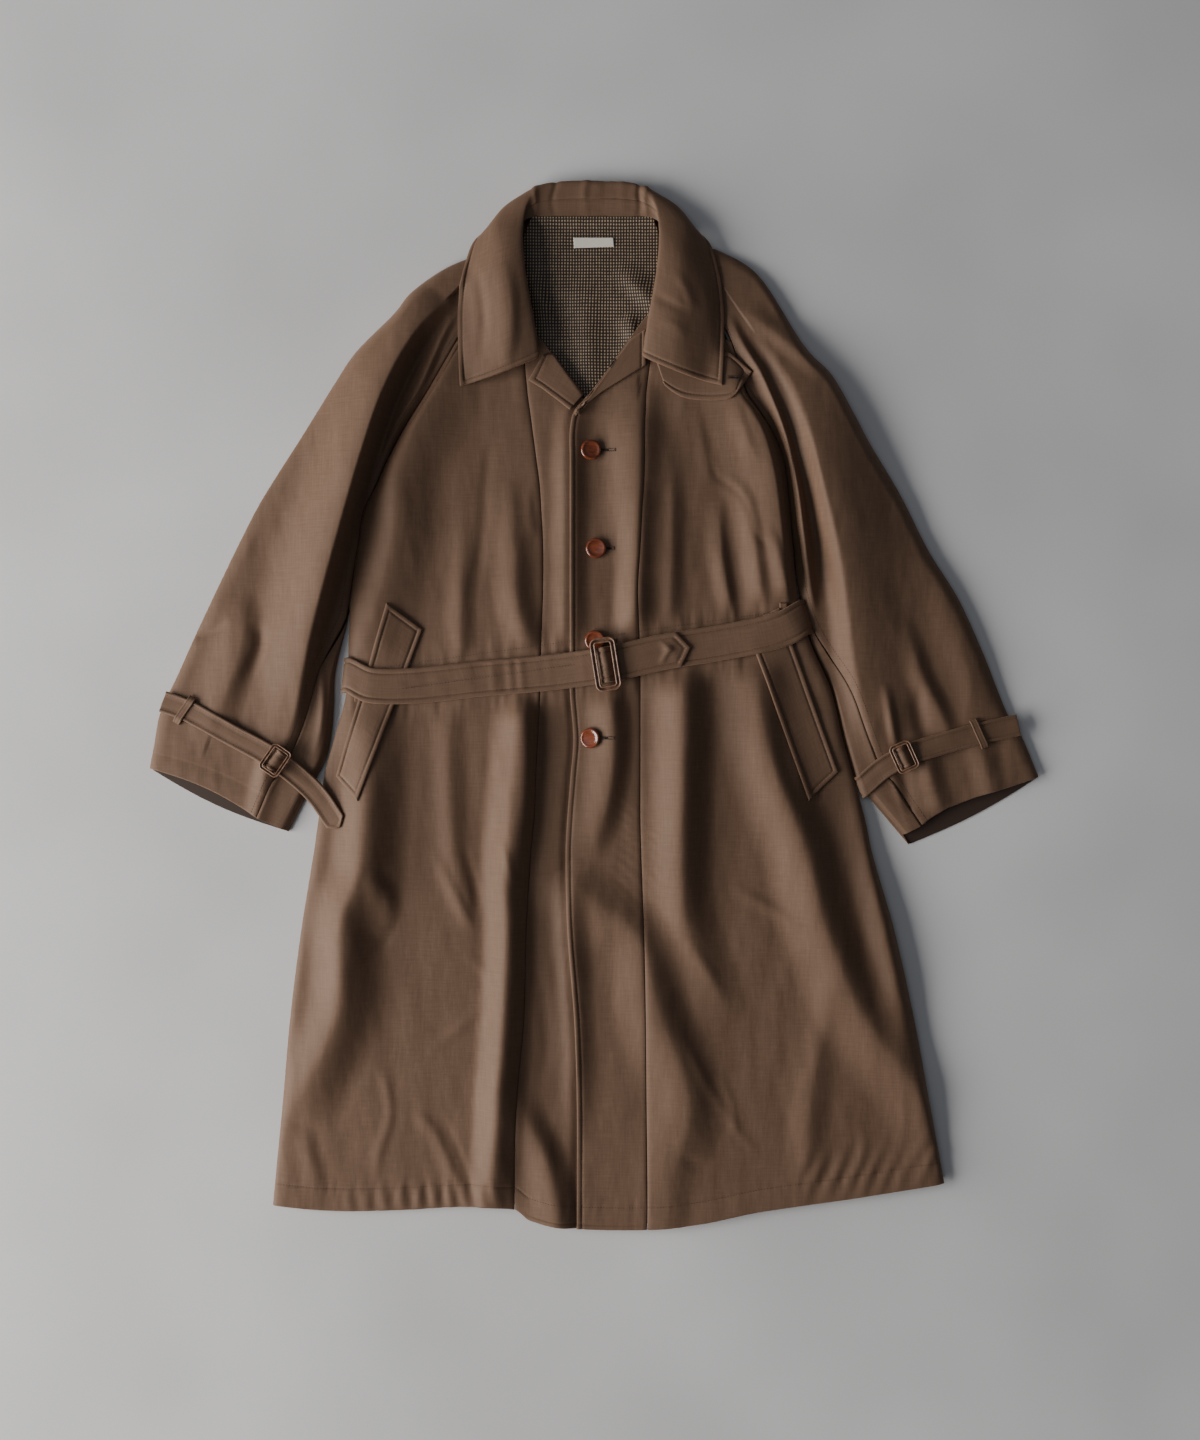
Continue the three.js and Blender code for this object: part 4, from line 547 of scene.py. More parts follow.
def bed_at(x, y, reach=1):
    """The bed's highest point within a few cells of each place."""
    high = np.zeros_like(x)
    for dx in range(-reach, reach + 1):
        for dy in range(-reach, reach + 1):
            i = np.clip(np.rint(x).astype(int) + dx + BED_HALF, 0, 2 * BED_HALF)
            j = np.clip(np.rint(y).astype(int) + dy + BED_HALF, 0, 2 * BED_HALF)
            high = np.maximum(high, bed[j, i])
    return high


def blur(a, radius, axis=0):
    """A soft average along one direction of a grid."""
    reach = int(radius * 2)
    weights = np.exp(-(np.arange(-reach, reach + 1) / radius) ** 2)
    weights /= weights.sum()
    padded = np.concatenate([np.repeat(np.take(a, [0], axis), reach, axis), a,
                             np.repeat(np.take(a, [-1], axis), reach, axis)], axis)
    out = np.zeros_like(a)
    for k, w in enumerate(weights):
        out += w * np.take(padded, np.arange(k, k + a.shape[axis]), axis)
    return out


def settled(x, y, clearance=0.4, stiff=3.0, rounds=6, across=1.5):
    """Heights of a stiffer piece's underside that lies on the bed and bridges its small dips."""
    floor = bed_at(x, y) + clearance
    z = floor.copy()
    for _ in range(rounds):
        z = np.maximum(blur(blur(z, stiff, 0), across, 1), floor)
    return blur(blur(z, stiff * 0.5, 0), across * 0.7, 1)


# ---- Finishes ------------------------------------------------------------
def colour(value):
    """An sRGB hex colour as the linear colour that a shader takes."""
    parts = [int(value[k:k + 2], 16) / 255 for k in (1, 3, 5)]
    return [c / 12.92 if c <= 0.04045 else ((c + 0.055) / 1.055) ** 2.4 for c in parts] + [1]


def add_node(tree, kind, inputs=None, **settings):
    """Adds a node with its settings; an input is a value, or an output to link from."""
    made = tree.nodes.new(kind)
    for key, value in settings.items():
        setattr(made, key, value)
    for key, value in (inputs or {}).items():
        if isinstance(value, bpy.types.NodeSocket):
            tree.links.new(value, made.inputs[key])
        else:
            made.inputs[key].default_value = value
    return made


def new_material(name):
    material = bpy.data.materials.new(name)
    material.use_nodes = True
    tree = material.node_tree
    tree.nodes.clear()
    shader = add_node(tree, "ShaderNodeBsdfPrincipled")
    output = add_node(tree, "ShaderNodeOutputMaterial", {"Surface": shader.outputs[0]})
    output.is_active_output = True
    return material, tree, shader


def flat_cloth(tree, turn=0.0, stretch=(1, 1, 1)):
    """Places on the cloth in metres, turned and stretched for a thread's direction."""
    cloth = add_node(tree, "ShaderNodeUVMap", uv_map="cloth")
    return add_node(tree, "ShaderNodeMapping", {
        "Vector": cloth.outputs[0], "Rotation": (0, 0, turn), "Scale": stretch}).outputs[0]


BAND = 0.31416  # a wave texture's period at scale 1


def gabardine(name, base, light, dark, sheen):
    # Worsted wool gabardine, piece-dyed and pressed: a close, smooth twill with a faint lengthwise streak
    # where threads took the dye unevenly, and a soft pale bloom where it turns away.
    material, tree, shader = new_material(name)
    long_streak = add_node(tree, "ShaderNodeTexNoise", {
        "Vector": flat_cloth(tree, 0, (620, 34, 1)), "Scale": 1.0, "Detail": 2.0, "Roughness": 0.6})
    cross_streak = add_node(tree, "ShaderNodeTexNoise", {
        "Vector": flat_cloth(tree, 0, (40, 560, 1)), "Scale": 1.0, "Detail": 2.0, "Roughness": 0.6})
    threads = add_node(tree, "ShaderNodeMath", {0: long_streak.outputs[0], 1: cross_streak.outputs[0]},
                       operation="ADD")
    blotch = add_node(tree, "ShaderNodeTexNoise", {
        "Vector": flat_cloth(tree, 0, (14, 9, 1)), "Scale": 1.0, "Detail": 3.0, "Roughness": 0.5})
    toned = add_node(tree, "ShaderNodeMath", {0: blotch.outputs[0], 1: 0.55, 2: threads.outputs[0]},
                     operation="MULTIPLY_ADD")
    ramp = add_node(tree, "ShaderNodeValToRGB", {0: add_node(
        tree, "ShaderNodeMath", {0: toned.outputs[0], 1: 0.39}, operation="MULTIPLY").outputs[0]})
    ramp.color_ramp.elements[0].position = 0.30
    ramp.color_ramp.elements[0].color = colour(dark)
    ramp.color_ramp.elements[1].position = 0.70
    ramp.color_ramp.elements[1].color = colour(light)
    middle = ramp.color_ramp.elements.new(0.5)
    middle.color = colour(base)
    tree.links.new(ramp.outputs[0], shader.inputs["Base Color"])
    # The real twill lines lie 0.5 mm apart; they are drawn 1.7 mm apart so that they show.
    twill = add_node(tree, "ShaderNodeTexWave", {
        "Vector": flat_cloth(tree, math.radians(-27)), "Scale": BAND / 0.0017, "Distortion": 0.6,
        "Detail": 1.0, "Detail Scale": 1.5}, wave_type="BANDS", bands_direction="X")
    weave = add_node(tree, "ShaderNodeMath", {0: twill.outputs[0], 1: 0.35, 2: threads.outputs[0]},
                     operation="MULTIPLY_ADD")
    rumple = add_node(tree, "ShaderNodeTexNoise", {
        "Vector": flat_cloth(tree, 0.2, (75, 32, 1)), "Scale": 1.0, "Detail": 3.0, "Roughness": 0.45})
    coarse = add_node(tree, "ShaderNodeBump", {
        "Height": rumple.outputs[0], "Strength": 0.4, "Distance": 0.0014})
    fine = add_node(tree, "ShaderNodeBump", {
        "Height": weave.outputs[0], "Strength": 0.4, "Distance": 0.00014, "Normal": coarse.outputs[0]})
    tree.links.new(fine.outputs[0], shader.inputs["Normal"])
    shader.inputs["Roughness"].default_value = 0.66
    shader.inputs["Specular IOR Level"].default_value = 0.32
    shader.inputs["Sheen Weight"].default_value = sheen
    shader.inputs["Sheen Roughness"].default_value = 0.45
    shader.inputs["Sheen Tint"].default_value = colour("#c9a794")
    return material


def check_lining():
    # Woven viscose lining in dark brown with a cream mini check: short cream dashes in close upright rows.
    # The real rows lie 2.6 mm apart; they are drawn 3.3 mm apart so that they show.
    material, tree, shader = new_material("woven_check_lining")
    upright = add_node(tree, "ShaderNodeTexWave", {
        "Vector": flat_cloth(tree), "Scale": BAND / 0.0033, "Distortion": 0.7, "Detail": 1.0,
        "Detail Scale": 0.6}, wave_type="BANDS", bands_direction="X")
    level_rows = add_node(tree, "ShaderNodeTexWave", {
        "Vector": flat_cloth(tree), "Scale": BAND / 0.0037, "Distortion": 0.7, "Detail": 1.0,
        "Detail Scale": 0.6}, wave_type="BANDS", bands_direction="Y")
    broken = add_node(tree, "ShaderNodeMapRange", {"Value": level_rows.outputs["Fac"], "To Min": 0.3})
    uneven = add_node(tree, "ShaderNodeTexNoise", {
        "Vector": flat_cloth(tree, 0, (160, 90, 1)), "Scale": 1.0, "Detail": 2.0})
    dashes = add_node(tree, "ShaderNodeMath", {0: upright.outputs["Fac"], 1: broken.outputs[0]},
                      operation="MULTIPLY")
    dashes = add_node(tree, "ShaderNodeMath", {0: uneven.outputs[0], 1: 0.30, 2: dashes.outputs[0]},
                      operation="MULTIPLY_ADD")
    ramp = add_node(tree, "ShaderNodeValToRGB", {0: dashes.outputs[0]})
    ramp.color_ramp.elements[0].position = 0.46
    ramp.color_ramp.elements[0].color = colour("#22150e")
    ramp.color_ramp.elements[1].position = 0.98
    ramp.color_ramp.elements[1].color = colour("#b09a7d")
    tree.links.new(ramp.outputs[0], shader.inputs["Base Color"])
    bump = add_node(tree, "ShaderNodeBump", {
        "Height": dashes.outputs[0], "Strength": 0.4, "Distance": 0.0003})
    tree.links.new(bump.outputs[0], shader.inputs["Normal"])
    shader.inputs["Roughness"].default_value = 0.55
    shader.inputs["Sheen Weight"].default_value = 0.1
    return material


def buckle_leather():
    # Calf leather skived thin, glued over the frame and burnished at its ridges: smooth, with a soft gloss.
    material, tree, shader = new_material("burnished_calf_leather")
    where = add_node(tree, "ShaderNodeTexCoord")
    grain = add_node(tree, "ShaderNodeTexVoronoi", {"Vector": where.outputs["Object"], "Scale": 1500.0})
    tone = add_node(tree, "ShaderNodeTexNoise", {
        "Vector": where.outputs["Object"], "Scale": 180.0, "Detail": 3.0})
    ramp = add_node(tree, "ShaderNodeValToRGB", {0: tone.outputs[0]})
    ramp.color_ramp.elements[0].position = 0.3
    ramp.color_ramp.elements[0].color = colour("#5d4334")
    ramp.color_ramp.elements[1].position = 0.75
    ramp.color_ramp.elements[1].color = colour("#97755f")
    tree.links.new(ramp.outputs[0], shader.inputs["Base Color"])
    bump = add_node(tree, "ShaderNodeBump", {
        "Height": grain.outputs[0], "Strength": 0.2, "Distance": 0.0001})
    tree.links.new(bump.outputs[0], shader.inputs["Normal"])
    shader.inputs["Roughness"].default_value = 0.34
    shader.inputs["Coat Weight"].default_value = 0.25
    shader.inputs["Coat Roughness"].default_value = 0.3
    return material


def polished_horn():
    # Polyester turned and polished like dyed horn: deep red brown with faint streaks under a clear gloss.
    material, tree, shader = new_material("polished_horn_polyester")
    where = add_node(tree, "ShaderNodeTexCoord")
    spread = add_node(tree, "ShaderNodeMapping", {"Vector": where.outputs["Object"], "Scale": (90, 260, 90)})
    streak = add_node(tree, "ShaderNodeTexNoise", {
        "Vector": spread.outputs[0], "Scale": 1.0, "Detail": 4.0, "Distortion": 0.8})
    ramp = add_node(tree, "ShaderNodeValToRGB", {0: streak.outputs[0]})
    ramp.color_ramp.elements[0].position = 0.3
    ramp.color_ramp.elements[0].color = colour("#5a2a18")
    ramp.color_ramp.elements[1].position = 0.72
    ramp.color_ramp.elements[1].color = colour("#854326")
    tree.links.new(ramp.outputs[0], shader.inputs["Base Color"])
    shader.inputs["Roughness"].default_value = 0.2
    shader.inputs["Coat Weight"].default_value = 0.6
    shader.inputs["Coat Roughness"].default_value = 0.08
    return material


def plain_finish(name, base, roughness, grain, depth):
    material, tree, shader = new_material(name)
    where = add_node(tree, "ShaderNodeTexCoord")
    fibre = add_node(tree, "ShaderNodeTexNoise", {
        "Vector": where.outputs["Object"], "Scale": grain, "Detail": 2.0})
    ramp = add_node(tree, "ShaderNodeValToRGB", {0: fibre.outputs[0]})
    ramp.color_ramp.elements[0].position = 0.25
    ramp.color_ramp.elements[0].color = [c * 0.78 for c in colour(base)[:3]] + [1]
    ramp.color_ramp.elements[1].position = 0.75
    ramp.color_ramp.elements[1].color = colour(base)
    tree.links.new(ramp.outputs[0], shader.inputs["Base Color"])
    bump = add_node(tree, "ShaderNodeBump", {"Height": fibre.outputs[0], "Strength": 0.3, "Distance": depth})
    tree.links.new(bump.outputs[0], shader.inputs["Normal"])
    shader.inputs["Roughness"].default_value = roughness
    return material


coat_cloth = gabardine("worsted_wool_gabardine", "#68503f", "#725a49", "#5e4737", 0.36)
lining_cloth = check_lining()
leather = buckle_leather()
horn = polished_horn()
thread = plain_finish("spun_polyester_thread", "#463329", 0.6, 3000.0, 0.0001)
tape = plain_finish("woven_cream_tape", "#efe9dc", 0.7, 1600.0, 0.0001)
# The sleeves' inner faces take a dark brown sleeve lining, darkened as painted shade inside the cuff mouths.
sleeve_lining_painted_shade = plain_finish("dark_sleeve_lining_painted_shade", "#3b2a20", 0.6, 900.0, 0.0001)
# A near-black finish for the flat ovals laid in the buttonholes: painted shade in the slits.
buttonhole_slit_painted_shade = plain_finish("shaded_cut_of_buttonhole", "#1d140f", 0.9, 900.0, 0.0001)


# ---- Sewing ------------------------------------------------------------
stitches = []  # two ends of each stitch


def sew(x, y, z, pitch=3.3, share=0.66):
    """A row of stitches along a line of points."""
    p = np.stack([x, y, z], axis=-1)
    run = np.concatenate([[0], np.cumsum(np.linalg.norm(np.diff(p, axis=0), axis=1))])
    starts = np.arange(pitch * 0.4, run[-1] - pitch, pitch)
    for s in starts:
        a, b = ([np.interp(t, run, p[:, k]) for k in range(3)] for t in (s, s + pitch * share))
        stitches.append((a, b))


def spaced(first, middle, last):
    """Places across any width, as an offset and a share of the width: close at both ends, even between."""
    first, last = np.asarray(first, float), np.asarray(last, float)[::-1]
    t = np.arange(1, middle + 1) / (middle + 1)
    offset = np.concatenate([first, first[-1] * (1 - t) - last[0] * t, -last])
    share = np.concatenate([0 * first, t, 0 * last + 1])
    return offset, share


def cloth_uv(x, y, z):
    """Distances along the cloth from the grid's first row and its middle column."""
    p = np.stack([x, y, z], axis=-1)
    u = np.concatenate([np.zeros((len(x), 1)), np.cumsum(np.linalg.norm(np.diff(p, axis=1), axis=-1), 1)], 1)
    down = np.cumsum(np.linalg.norm(np.diff(p, axis=0), axis=-1), 0)
    v = np.concatenate([np.zeros((1, x.shape[1])), down], 0)
    middle = x.shape[1] // 2
    return u - u[:, middle:middle + 1], np.repeat(v[:, middle:middle + 1], x.shape[1], 1)


def cloth_piece(name, grid, material, nodes, wall, uv=None, cell=None):
    """A sheet of cloth from a grid of its outer face."""
    x, y, z = grid
    mesh = grid_mesh(name, x, y, z, uv if uv is not None else cloth_uv(x, y, z), cell=cell)
    obj = piece(name, mesh, material, nodes, wall)
    return obj


def raised(x, y, z, amount):
    """A grid's points moved out along its faces' normals."""
    p = np.stack([x, y, z], axis=-1)
    across, along = np.gradient(p, axis=1), np.gradient(p, axis=0)
    n = np.cross(across, along)
    n /= np.maximum(np.linalg.norm(n, axis=-1, keepdims=True), 1e-9)
    if n[len(n) // 4, n.shape[1] // 2, 2] < 0:
        n = -n
    moved = p + n * np.asarray(amount)[..., None]
    return moved[..., 0], moved[..., 1], moved[..., 2]


# ---- Back, lining and label ------------------------------------------------------------
PANEL_MIDDLE = 284


def panel_plan(west, east, top, across, along, hem=hem_y):
    """Places in plan of a body panel's grid, with the distance of each to its four sides."""
    (c_offset, c_share), (r_offset, r_share) = across, along
    y = np.repeat(np.linspace(-590, 400, len(r_offset))[:, None], len(c_offset), 1)
    for _ in range(16):
        x = west(y) + c_offset + c_share * (east(y) - west(y))
        y = hem(x) + r_offset[:, None] + r_share[:, None] * (top(x) - hem(x))
    return x, y, (x - west(y), east(y) - x, y - hem(x), top(x) - y)


x, y, _ = panel_plan(lambda y: level["right_edge"](y) + 2, lambda y: level["left_edge"](y) - 2,
                     lambda x: 556 - 0.00105 * (x - COLLAR_MIDDLE) ** 2,
                     spaced((0, 1.5, 5), 60, (0, 1.5, 5)), spaced((0, 1, 4), 110, (0, 1, 4)),
                     hem=lambda x: hem_y(x) + 5)
z = back_lift(x, y) + CLOTH - 0.1 + 0.25 * (1 + soft_noise(x, y, 60, 120, 21))
lay(x, y, z, 10)
cloth_piece("back_panel", (x, y, z), coat_cloth, ["back"], CLOTH - 0.1,
            uv=(x, y))

rows, cols = spaced((0, 2), 74, (0, 2)), spaced((0, 2), 62, (0, 2))
v = (rows[0] + rows[1] * 230)[:, None] / 230
u = (cols[0] + cols[1] * 199)[None, :] / 199
y = mix(561.5, 330, v) + 0 * u
x = mix(-104, 95, u) * mix(0.7, 1, np.clip(v * 3.5, 0, 1))
lining_folds = fold_field((
    ("soft fold", 18, 22, ((24, 504, 0), (40, 490, 2.6), (56, 474, 3.6), (70, 462, 2.6), (82, 450, 0))),
    ("fullness by the left front", 20, 16, ((34, 452, 0), (42, 436, 4), (44, 418, 4), (36, 396, 0))),
    ("drag", 14, 14, ((-70, 500, 0), (-62, 466, 2), (-48, 430, 0))),
    ("middle fullness", 26, 26, ((-20, 500, 0), (-10, 440, 2.2), (-6, 390, 2), (-6, 350, 0))),
))
z = (back_lift(x, y) + CLOTH + 0.8 + LINING + lining_folds(x, y) + 0.4 * soft_noise(x, y, 24, 50, 31)
     + 3.6 * smooth((y - 546) / 16))
lay(x, y, z)
cloth_piece("back_neck_lining", (x, y, z), lining_cloth, ["back_lining"], LINING,
            uv=(x + 0.96 * lining_folds(x, y), y))


def strip_between(left, right, along, across):
    """Places in plan between two sides with as many points each, and the distance to its four sides."""
    left, right = np.asarray(left, float), np.asarray(right, float)
    middle = (left + right) / 2
    run = np.concatenate([[0], np.cumsum(np.hypot(*np.diff(middle, axis=0).T))])
    s = along[0] + along[1] * run[-1]
    a = np.stack([np.interp(s, run, left[:, k]) for k in (0, 1)], axis=-1)
    b = np.stack([np.interp(s, run, right[:, k]) for k in (0, 1)], axis=-1)
    width = np.hypot(*(b - a).T)[:, None]
    d = across[0] + across[1] * width
    t = d / width
    x, y = mix(a[:, :1], b[:, :1], t), mix(a[:, 1:], b[:, 1:], t)
    s = s[:, None] + 0 * d
    return x, y, (d, width - d, s, run[-1] - s)


x, y, _ = strip_between(((-25, 538), (21, 538)), ((-24, 526), (22, 527.5)),
                        spaced((0, 1), 20, (0, 1)), spaced((0, 0.5), 6, (0, 0.5)))
z = bed_at(x, y, 2) + 0.9
cloth_piece("neck_label", (x, y, z), tape, ["label"], 0.5)

# ---- Fronts ------------------------------------------------------------
LAP_SIDE = CLOSE
SEAM_SIDE = (0, 0.4, 0.9, 1.6, 3, 5, 8)
OUTLINE_SIDE = (0, 0.6, 1.5, 3, 4.4, 5.4, 6, 6.6, 7.8, 10)
RAGLAN_STITCH_FROM = 318


def front(name, node, west, east, top, height, first, middle, last, rolls, sewn_sides, centre_hem):
    """One panel of a front. `rolls` are the radii of its west, east, hem and top edge."""
    x, y, (d_west, d_east, d_hem, d_top) = panel_plan(
        west, east, top, spaced(first, middle, last), spaced(CLOSE_HEM, PANEL_MIDDLE, CLOSE_PLAIN))
    z = height(x, y)
    for distance, radius in zip((d_west, d_east, d_hem, d_top), rolls):
        z = z - edge_roll(distance, radius)
    deep = smooth(centre_hem(x))
    z = z + (1 - deep) * stitch_groove(d_hem, HEM_STITCH, 0.6, 1.2) + deep * stitch_groove(d_hem)
    for distance, sewn in zip((d_west, d_east), sewn_sides):
        if sewn == "stitched":
            z = z + stitch_groove(distance)
        if sewn == "raglan":
            z = z + stitch_groove(distance, depth=0.7) * sewn_share(y)
        if sewn == "seam":
            z = z - 0.9 * np.exp(-(distance / 2.2) ** 2) - 0.25 * np.exp(-(distance / 7) ** 2)
    lay(x, y, z)
    hem_row = np.argmin(np.abs(d_hem[:, 0] - HEM_STITCH))
    sew(x[hem_row], y[hem_row], z[hem_row])
    for distance, sewn in zip((d_west, d_east), sewn_sides):
        if sewn in ("stitched", "raglan"):
            j = np.argmin(np.abs(distance[0] - EDGE_STITCH))
            keep = y[:, j] > (RAGLAN_STITCH_FROM if sewn == "raglan" else -np.inf)
            sew(x[keep, j], y[keep, j], z[keep, j])
    return cloth_piece(name, (x, y, z), coat_cloth, [node], CLOTH, uv=(x, y))


half_gap = SEAM_GAP / 2


def side_hem(x):
    return 0 * x


front("front_side_panel_right", "front_side_right",
      level["right_edge"], lambda y: level["right_seam"](y) - half_gap, top_right_y, under_height,
      OUTLINE_SIDE, 76, SEAM_SIDE, (0, 0.8, 1.3, 1.0), ("raglan", "seam"), side_hem)
front("front_centre_panel_right", "front_center_right",
      lambda y: level["right_seam"](y) + half_gap, lambda y: 0 * y + UNDERLAP_EDGE,
      top_right_y, under_height, SEAM_SIDE, 34, (0, 4, 9), (0.8, 0, 1.3, 1.0), ("seam", ""),
      lambda x: (x + 80) / 12)
front("front_centre_panel_left", "front_center_left",
      level["lap_edge"], lambda y: level["left_seam"](y) - half_gap, top_left_y, over_height,
      LAP_SIDE, 26, SEAM_SIDE, (1.4, 0.8, 1.3, 1.0), ("stitched", "seam"), lambda x: (70 - x) / 12)
front("front_side_panel_left", "front_side_left",
      lambda y: level["left_seam"](y) + half_gap, level["left_edge"], top_left_y, over_height,
      SEAM_SIDE, 84, OUTLINE_SIDE, (0.8, 0, 1.3, 1.0), ("seam", "raglan"), side_hem)


# ---- Sleeves ------------------------------------------------------------
def sleeve(side, rows, folds, creases, mouth_front, mouth_back):
    """A sleeve's front and back pieces; the back one turns up round the free inner edge to its seam."""
    sign = 1 if side == "left" else -1
    at = np.linspace(0, 1, len(rows))
    read = {key: reader(at, columns_of(rows, k))
            for k, key in enumerate(("out_x", "out_y", "in_x", "in_y", "seam"))}
    drawn_x, body_edge = read["in_x"], level[f"{side}_edge"]

    def touching(t):
        """The inner edge, laid against the coat's side where the two meet."""
        gap = sign * (drawn_x(t) - body_edge(read["in_y"](t)))
        return drawn_x(t) - sign * np.minimum(gap - 0.3, 5.7) * (1 - smooth((t - 0.86) / 0.08))

    read["in_x"] = touching
    field, fine = fold_field(folds), fold_field(creases)
    free = max(t for t, row in zip(at, rows) if row[4] == 1)
    opened = lambda t: smooth((t - free) / SLEEVE_OPENS_OVER)
    fine_at = np.linspace(0, 1, 400)
    mid = np.stack([(read["out_x"](fine_at) + read["in_x"](fine_at)) / 2,
                    (read["out_y"](fine_at) + read["in_y"](fine_at)) / 2], axis=-1)
    run = np.concatenate([[0], np.cumsum(np.hypot(*np.diff(mid, axis=0).T))])
    width_of = lambda t: np.hypot(read["out_x"](t) - read["in_x"](t), read["out_y"](t) - read["in_y"](t))
    down = mid[-1] - mid[-25]
    down = down / np.hypot(*down)

    def plan(t, u):
        return mix(read["out_x"](t), read["in_x"](t), u), mix(read["out_y"](t), read["in_y"](t), u)

    def height(t, u):
        x, y = plan(t, u)
        wide = width_of(t)
        turned = opened(t)
        full = (SLEEVE_LIFT + field(x, y) + fine(x, y) + 0.55 * soft_noise(x, y, 24, 80, 41)
                + 0.3 * soft_noise(x, y, 10, 30, 42))
        outer = EDGE_LIFT + (full - EDGE_LIFT) * rounded_edge(u * wide, SLEEVE_EDGE_ROUND)
        low = mix(mix(SLEEVE_SEAM_LIFT, SLEEVE_LIFT - 1.4, sewn_share(y)), SLEEVE_MOUTH, turned)
        inner = rounded_edge((1 - u) * wide, SLEEVE_EDGE_ROUND)
        return np.minimum(low, outer) + np.maximum(0, outer - low) * inner

    def lengthwise(count, close):
        offset, share = spaced((0, 1, 3), count, close)
        at_run = offset + share * run[-1]
        return np.interp(at_run, run, fine_at)[:, None], run[-1] - at_run

    # the front piece, from the outer edge to the inner-arm seam
    t, d_cuff = lengthwise(180, CLOSE_HEM)
    seam = read["seam"](t)
    offset, share = spaced((0, 0.6, 1.5, 3, 5, 7.5, 10.5), 62, SEAM_SIDE)
    wide = width_of(t) * seam
    u = (offset + share * wide) / width_of(t) - 0.0012
    u = np.maximum(u, 0)
    x, y = plan(t, u)
    z = height(t, u)
    d_seam = wide - (offset + share * wide)
    d_cuff = d_cuff[:, None] + 0 * u
    z = z - edge_roll(d_cuff, 1.3) + stitch_groove(d_cuff, HEM_STITCH - 3, 0.35, 1.4)
    z = (z - edge_roll(d_seam, 0.8) - 0.7 * np.exp(-(d_seam / 2.2) ** 2)
         + stitch_groove(d_seam, SLEEVE_STITCH, 0.35, 1.0) * (0.3 + 0.7 * sewn_share(y)))
    near = np.exp(-(d_cuff / 90) ** 2)
    pull = mouth_front(u / np.maximum(seam, 1e-6)) * near
    x, y = x - down[0] * pull, y - down[1] * pull
    lay(x, y, z)
    j = np.argmin(np.abs(d_seam[40] - SLEEVE_STITCH))
    sew(x[:, j], y[:, j], z[:, j])
    cloth_piece(f"sleeve_front_piece_{side}", (x, y, z), coat_cloth,
                [f"sleeve_front_{side}"], CLOTH, uv=(x, y))

    # the back piece, flat on the floor, round the free edge and over to the seam
    t, d_cuff = lengthwise(110, CLOSE_PLAIN)
    turned = opened(t)
    wide = width_of(t)
    seam = np.minimum(read["seam"](t), 1)
    middle_z = SLEEVE_MOUTH * 0.52
    radius = middle_z / wide * 1.15
    flat = np.concatenate([[0.02, 0.03], np.linspace(0.06, 0.9, 26)])[None, :] * (1 - radius)
    last_u = mix(0.98, 1, turned)
    lies = flat * last_u
    angle = np.linspace(0, 1, 10)[None, 1:] * np.pi / 2
    round_u = last_u - radius * (1 - np.sin(angle))
    round_z = turned * middle_z * (1 - np.cos(angle))
    over = np.linspace(0, 1, 17)[None, 1:] ** 1.4
    over_u = mix(last_u + 0 * over, seam + 0.0014, over * turned)
    over_z = turned * mix(middle_z + 0 * over, height(t, np.minimum(over_u, 0.9995)), smooth(over * 5))
    u = np.concatenate([lies, round_u, over_u], axis=1)
    z = np.concatenate([0 * lies, round_z, over_z], axis=1)
    x, y = plan(t, u)
    d_cuff = d_cuff[:, None] + 0 * u
    top_side = np.concatenate([0 * lies, 0 * round_u, 1 + 0 * over_u], axis=1)
    pull = mix(mouth_back(u), mouth_front(np.ones_like(u)), top_side) * np.exp(-(d_cuff / 60) ** 2)
    x, y = x - down[0] * pull, y - down[1] * pull
    uneven = np.concatenate([0 * lies, 0 * round_u, over + 0 * over_u], axis=1)
    z = z + 0.2 * uneven * soft_noise(x, y, 12, 30, 43)
    mesh_grid = (x, y, np.maximum(z, 0))
    lay(*mesh_grid)
    obj = cloth_piece(f"sleeve_back_piece_{side}", mesh_grid, coat_cloth,
                      [f"sleeve_back_{side}"], CLOTH - 0.1, uv=cloth_uv(*mesh_grid),
                      cell=("down", 50, 8))
    # Inner faces, seen inside the cuff mouth, take the dark sleeve lining: painted shade.
    obj.data.materials.append(sleeve_lining_painted_shade)
    obj.modifiers["cloth thickness"].material_offset = 1


sleeve("right", SLEEVE_RIGHT, SLEEVE_FOLDS_RIGHT, SLEEVE_CREASES_RIGHT,
       lambda u: 6.5 * np.sin(np.pi * np.clip(u, 0, 1)), lambda u: -7 * np.sin(np.pi * np.clip(u, 0, 1)))
sleeve("left", SLEEVE_LEFT, SLEEVE_FOLDS_LEFT, SLEEVE_CREASES_LEFT,
       lambda u: np.interp(u, (0, 0.2, 0.5, 0.75, 0.9, 1), (0, 4.5, 13, 17.5, 16, 13)),
       lambda u: -5 * np.sin(np.pi * np.clip(u, 0, 1)))


